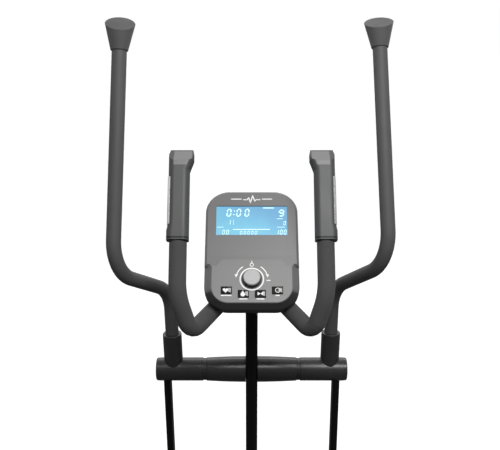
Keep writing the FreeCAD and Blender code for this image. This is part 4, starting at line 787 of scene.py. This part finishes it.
def pulse_line():
    """A plain heartbeat trace with round corners and ends."""
    trace = [(-19, 116), (-11, 116), (-7, 121), (-3, 108.5), (2, 126.5), (7, 112), (10, 116),
             (19, 116)]
    shapes = [stroke(pair, 2.5) for pair in zip(trace, trace[1:])]
    shapes += [disc(x, y, 1.25, 20) for x, y in trace]
    return shapes


def dial_marks():
    """Ring round the knob, a curved arrow each way, a small dial sign and a plain bar."""
    shapes = [hoop(0, DIAL_Y, 27, 24, 96)]
    for way in (-1, 1):
        start, end = (124, 160) if way < 0 else (56, 20)
        shapes.append(stroke(arc_points(0, DIAL_Y, 35, start, end), 2.3))
        shapes.append([(way * 30.2, DIAL_Y + 12), (way * 37.6, DIAL_Y + 11),
                       (way * 34.8, DIAL_Y + 3.5)][::way])
    shapes.append(hoop(0, DIAL_Y + 34, 4.6, 3.0, 32))
    shapes.append(bar(0, DIAL_Y + 41, 2, 4.4))
    shapes.append(bar(36.5, DIAL_Y - 3.2, 9.5, 2.2))
    return shapes


def dial_painted_shadow():
    """Near-black ring under the knob: a painted shadow."""
    return [hoop(0, DIAL_Y, 22.4, 6, 72)]


def button_bars():
    """A plain bar under each button, in place of its lettering."""
    shapes = []
    for (x, y), width in zip(BUTTONS, (23.5, 18.5, 17.5, 10)):
        shapes.append(bar(x, y - 11.6, width, 2.6))
    return shapes


print_and_shadow_on("pulse_trace", pulse_line() + [bar(-35.6, 117.5, 25, 2.3), bar(35.3, 117.5, 24, 2.3)],
         -0.02, 0.14, WHITE_INK)
print_and_shadow_on("dial_marks", dial_marks(), PANEL_TOP - 0.02, 0.14, WHITE_INK)
# Painted shadow: a near-black ring on the panel under the knob.
print_and_shadow_on("dial_painted_shadow", dial_painted_shadow(), PANEL_TOP - 0.02, 0.1, SHADOW_BLACK)
print_and_shadow_on("button_bars", button_bars(), PANEL_TOP - 0.02, 0.14, WHITE_INK)


# ---------------------------------------------------------------- button signs

def heart(x, y, size):
    points = []
    for step in range(40):
        angle = 2 * math.pi * step / 40
        across = 16 * math.sin(angle) ** 3
        up = (13 * math.cos(angle) - 5 * math.cos(2 * angle) - 2 * math.cos(3 * angle)
              - math.cos(4 * angle))
        points.append((x + across * size / 32, y + up * size / 32))
    return points[::-1]


def drop(x, y, size):
    points = [(x, y + size * 0.62)]
    for step in range(25):
        angle = math.radians(40 - 260 * step / 24)
        points.append((x + size * 0.40 * math.cos(angle), y + size * (0.40 * math.sin(angle) - 0.1)))
    return points[::-1]


def sign_shapes(number, x, y):
    if number == 1:
        return [heart(x - 1.6, y, 12)]
    if number == 2:
        return [drop(x - 1.2, y - 0.4, 12)]
    if number == 3:
        return [[(x - 6, y + 4.2), (x - 6, y - 4.2), (x + 0.4, y)],
                [(x + 6.4, y - 4.2), (x + 6.4, y + 4.2), (x, y)]]
    needle = [(x + 0.4, y - 0.8), (x + 3.4, y + 2.6), (x + 1.6, y - 1.6)]
    return [hoop(x + 0.6, y, 5.6, 4.2, 36), needle]


def tab_shape(x, y):
    """Grey tab beside a sign, cut on a slant below."""
    return [(x + 4.6, y + 5.2), (x + 3.2, y - 2.4), (x + 10.2, y - 5.6), (x + 10.2, y + 5.2)]


for number, (x, y) in enumerate(BUTTONS, start=1):
    print_and_shadow_on(f"button_sign_{number}", sign_shapes(number, x, y), 4.58, 0.12, WHITE_INK,
             f"button_{number}")
    print_and_shadow_on(f"button_tab_{number}", [tab_shape(x, y)], 4.57, 0.08, GREY_INK,
             f"button_{number}")


# ---------------------------------------------------------------- camera, light and floor

WORLD_NEAR = 0.27
WORLD_FAR = 0.95
KEY_FROM = (0.335, -0.516, 0.788)
KEY_STRENGTH = 0.62
KEY_SPREAD = 32
FLOOR_GLOW = 0.35
FLOOR_BOUNCE = 0.14


def make_camera():
    """A 54 mm lens, 1.7 m back from the crossbar and looking 15 degrees down."""
    data = bpy.data.cameras.new("camera")
    data.lens = 54
    data.sensor_width = 36
    data.clip_end = 100
    camera = bpy.data.objects.new("camera", data)
    camera.location = (-4 * MM, PIVOT.y - 1.706, PIVOT.z + 0.827)
    camera.rotation_euler = (math.radians(75), 0, 0)
    bpy.context.scene.collection.objects.link(camera)
    bpy.context.scene.camera = camera


def make_light(name, place, target, size, power):
    data = bpy.data.lights.new(name, "AREA")
    data.shape = "RECTANGLE"
    data.size, data.size_y = size
    data.energy = power
    light = bpy.data.objects.new(name, data)
    light.location = place
    light.rotation_euler = (Vector(target) - Vector(place)).to_track_quat("-Z", "Y").to_euler()
    bpy.context.scene.collection.objects.link(light)


def make_sun(toward, strength, spread):
    """A broad soft sun that stands in a direction, with its spread in degrees."""
    data = bpy.data.lights.new("sun", "SUN")
    data.energy = strength
    data.angle = math.radians(spread)
    sun = bpy.data.objects.new("sun", data)
    sun.rotation_euler = (-Vector(toward)).to_track_quat("-Z", "Y").to_euler()
    bpy.context.scene.collection.objects.link(sun)


def make_floor():
    """White to the camera by a glow that only the camera sees, and dark to every other ray, so
    that little light comes back to the undersides."""
    reach = 40.0
    made = bmesh.new()
    corners = [(-reach, -reach), (reach, -reach), (reach, reach), (-reach, reach)]
    made.faces.new([made.verts.new((x, y, -0.0005)) for x, y in corners])
    mesh = bpy.data.meshes.new("floor")
    made.to_mesh(mesh)
    made.free()
    graph = Graph("floor_white")
    shade = graph.noise(0.8, 3)
    tone = graph.blend(shade, (0.88, 0.88, 0.88), (0.92, 0.92, 0.92))
    seen = graph.add("ShaderNodeLightPath").outputs["Is Camera Ray"]
    tone = graph.blend(seen, (FLOOR_BOUNCE,) * 3, tone)
    graph.raise_by(graph.noise(60, 4), 0.2 * MM)
    graph.feed(graph.shader.inputs["Emission Strength"], graph.sum("MULTIPLY", seen, FLOOR_GLOW))
    mesh.materials.append(graph.done(tone, 0.7, Specular_IOR_Level=0.1,
                                     Emission_Color=(1.0, 1.0, 1.0)))
    floor = bpy.data.objects.new("floor", mesh)
    bpy.context.scene.collection.objects.link(floor)


def make_world():
    """White to the camera. As light, it is bright behind the machine and dim behind the camera."""
    world = bpy.data.worlds.new("studio")
    world.use_nodes = True
    tree = world.node_tree
    background = tree.nodes["Background"]
    background.inputs["Color"].default_value = (1, 1, 1, 1)
    direction = tree.nodes.new("ShaderNodeSeparateXYZ")
    tree.links.new(tree.nodes.new("ShaderNodeTexCoord").outputs["Generated"],
                   direction.inputs[0])
    depth = tree.nodes.new("ShaderNodeMapRange")
    depth.inputs["From Min"].default_value = -0.3
    depth.inputs["From Max"].default_value = 0.4
    depth.inputs["To Min"].default_value = WORLD_NEAR
    depth.inputs["To Max"].default_value = WORLD_FAR
    tree.links.new(direction.outputs["Y"], depth.inputs["Value"])
    level = tree.nodes.new("ShaderNodeMapRange")
    level.inputs["To Max"].default_value = 1.0
    path = tree.nodes.new("ShaderNodeLightPath")
    tree.links.new(path.outputs["Is Camera Ray"], level.inputs["Value"])
    tree.links.new(depth.outputs["Result"], level.inputs["To Min"])
    tree.links.new(level.outputs["Result"], background.inputs["Strength"])
    bpy.context.scene.world = world


make_camera()
make_sun(KEY_FROM, KEY_STRENGTH, KEY_SPREAD)
make_light("overhead", (0.26, -0.75, 2.35), (0, 0.15, 1.3), (1.0, 0.7), 19)
make_light("rim", (0, 2.6, 2.9), (0, 0, 1.0), (2.2, 0.35), 13)
make_floor()
make_world()
bpy.context.scene.view_settings.view_transform = "Standard"
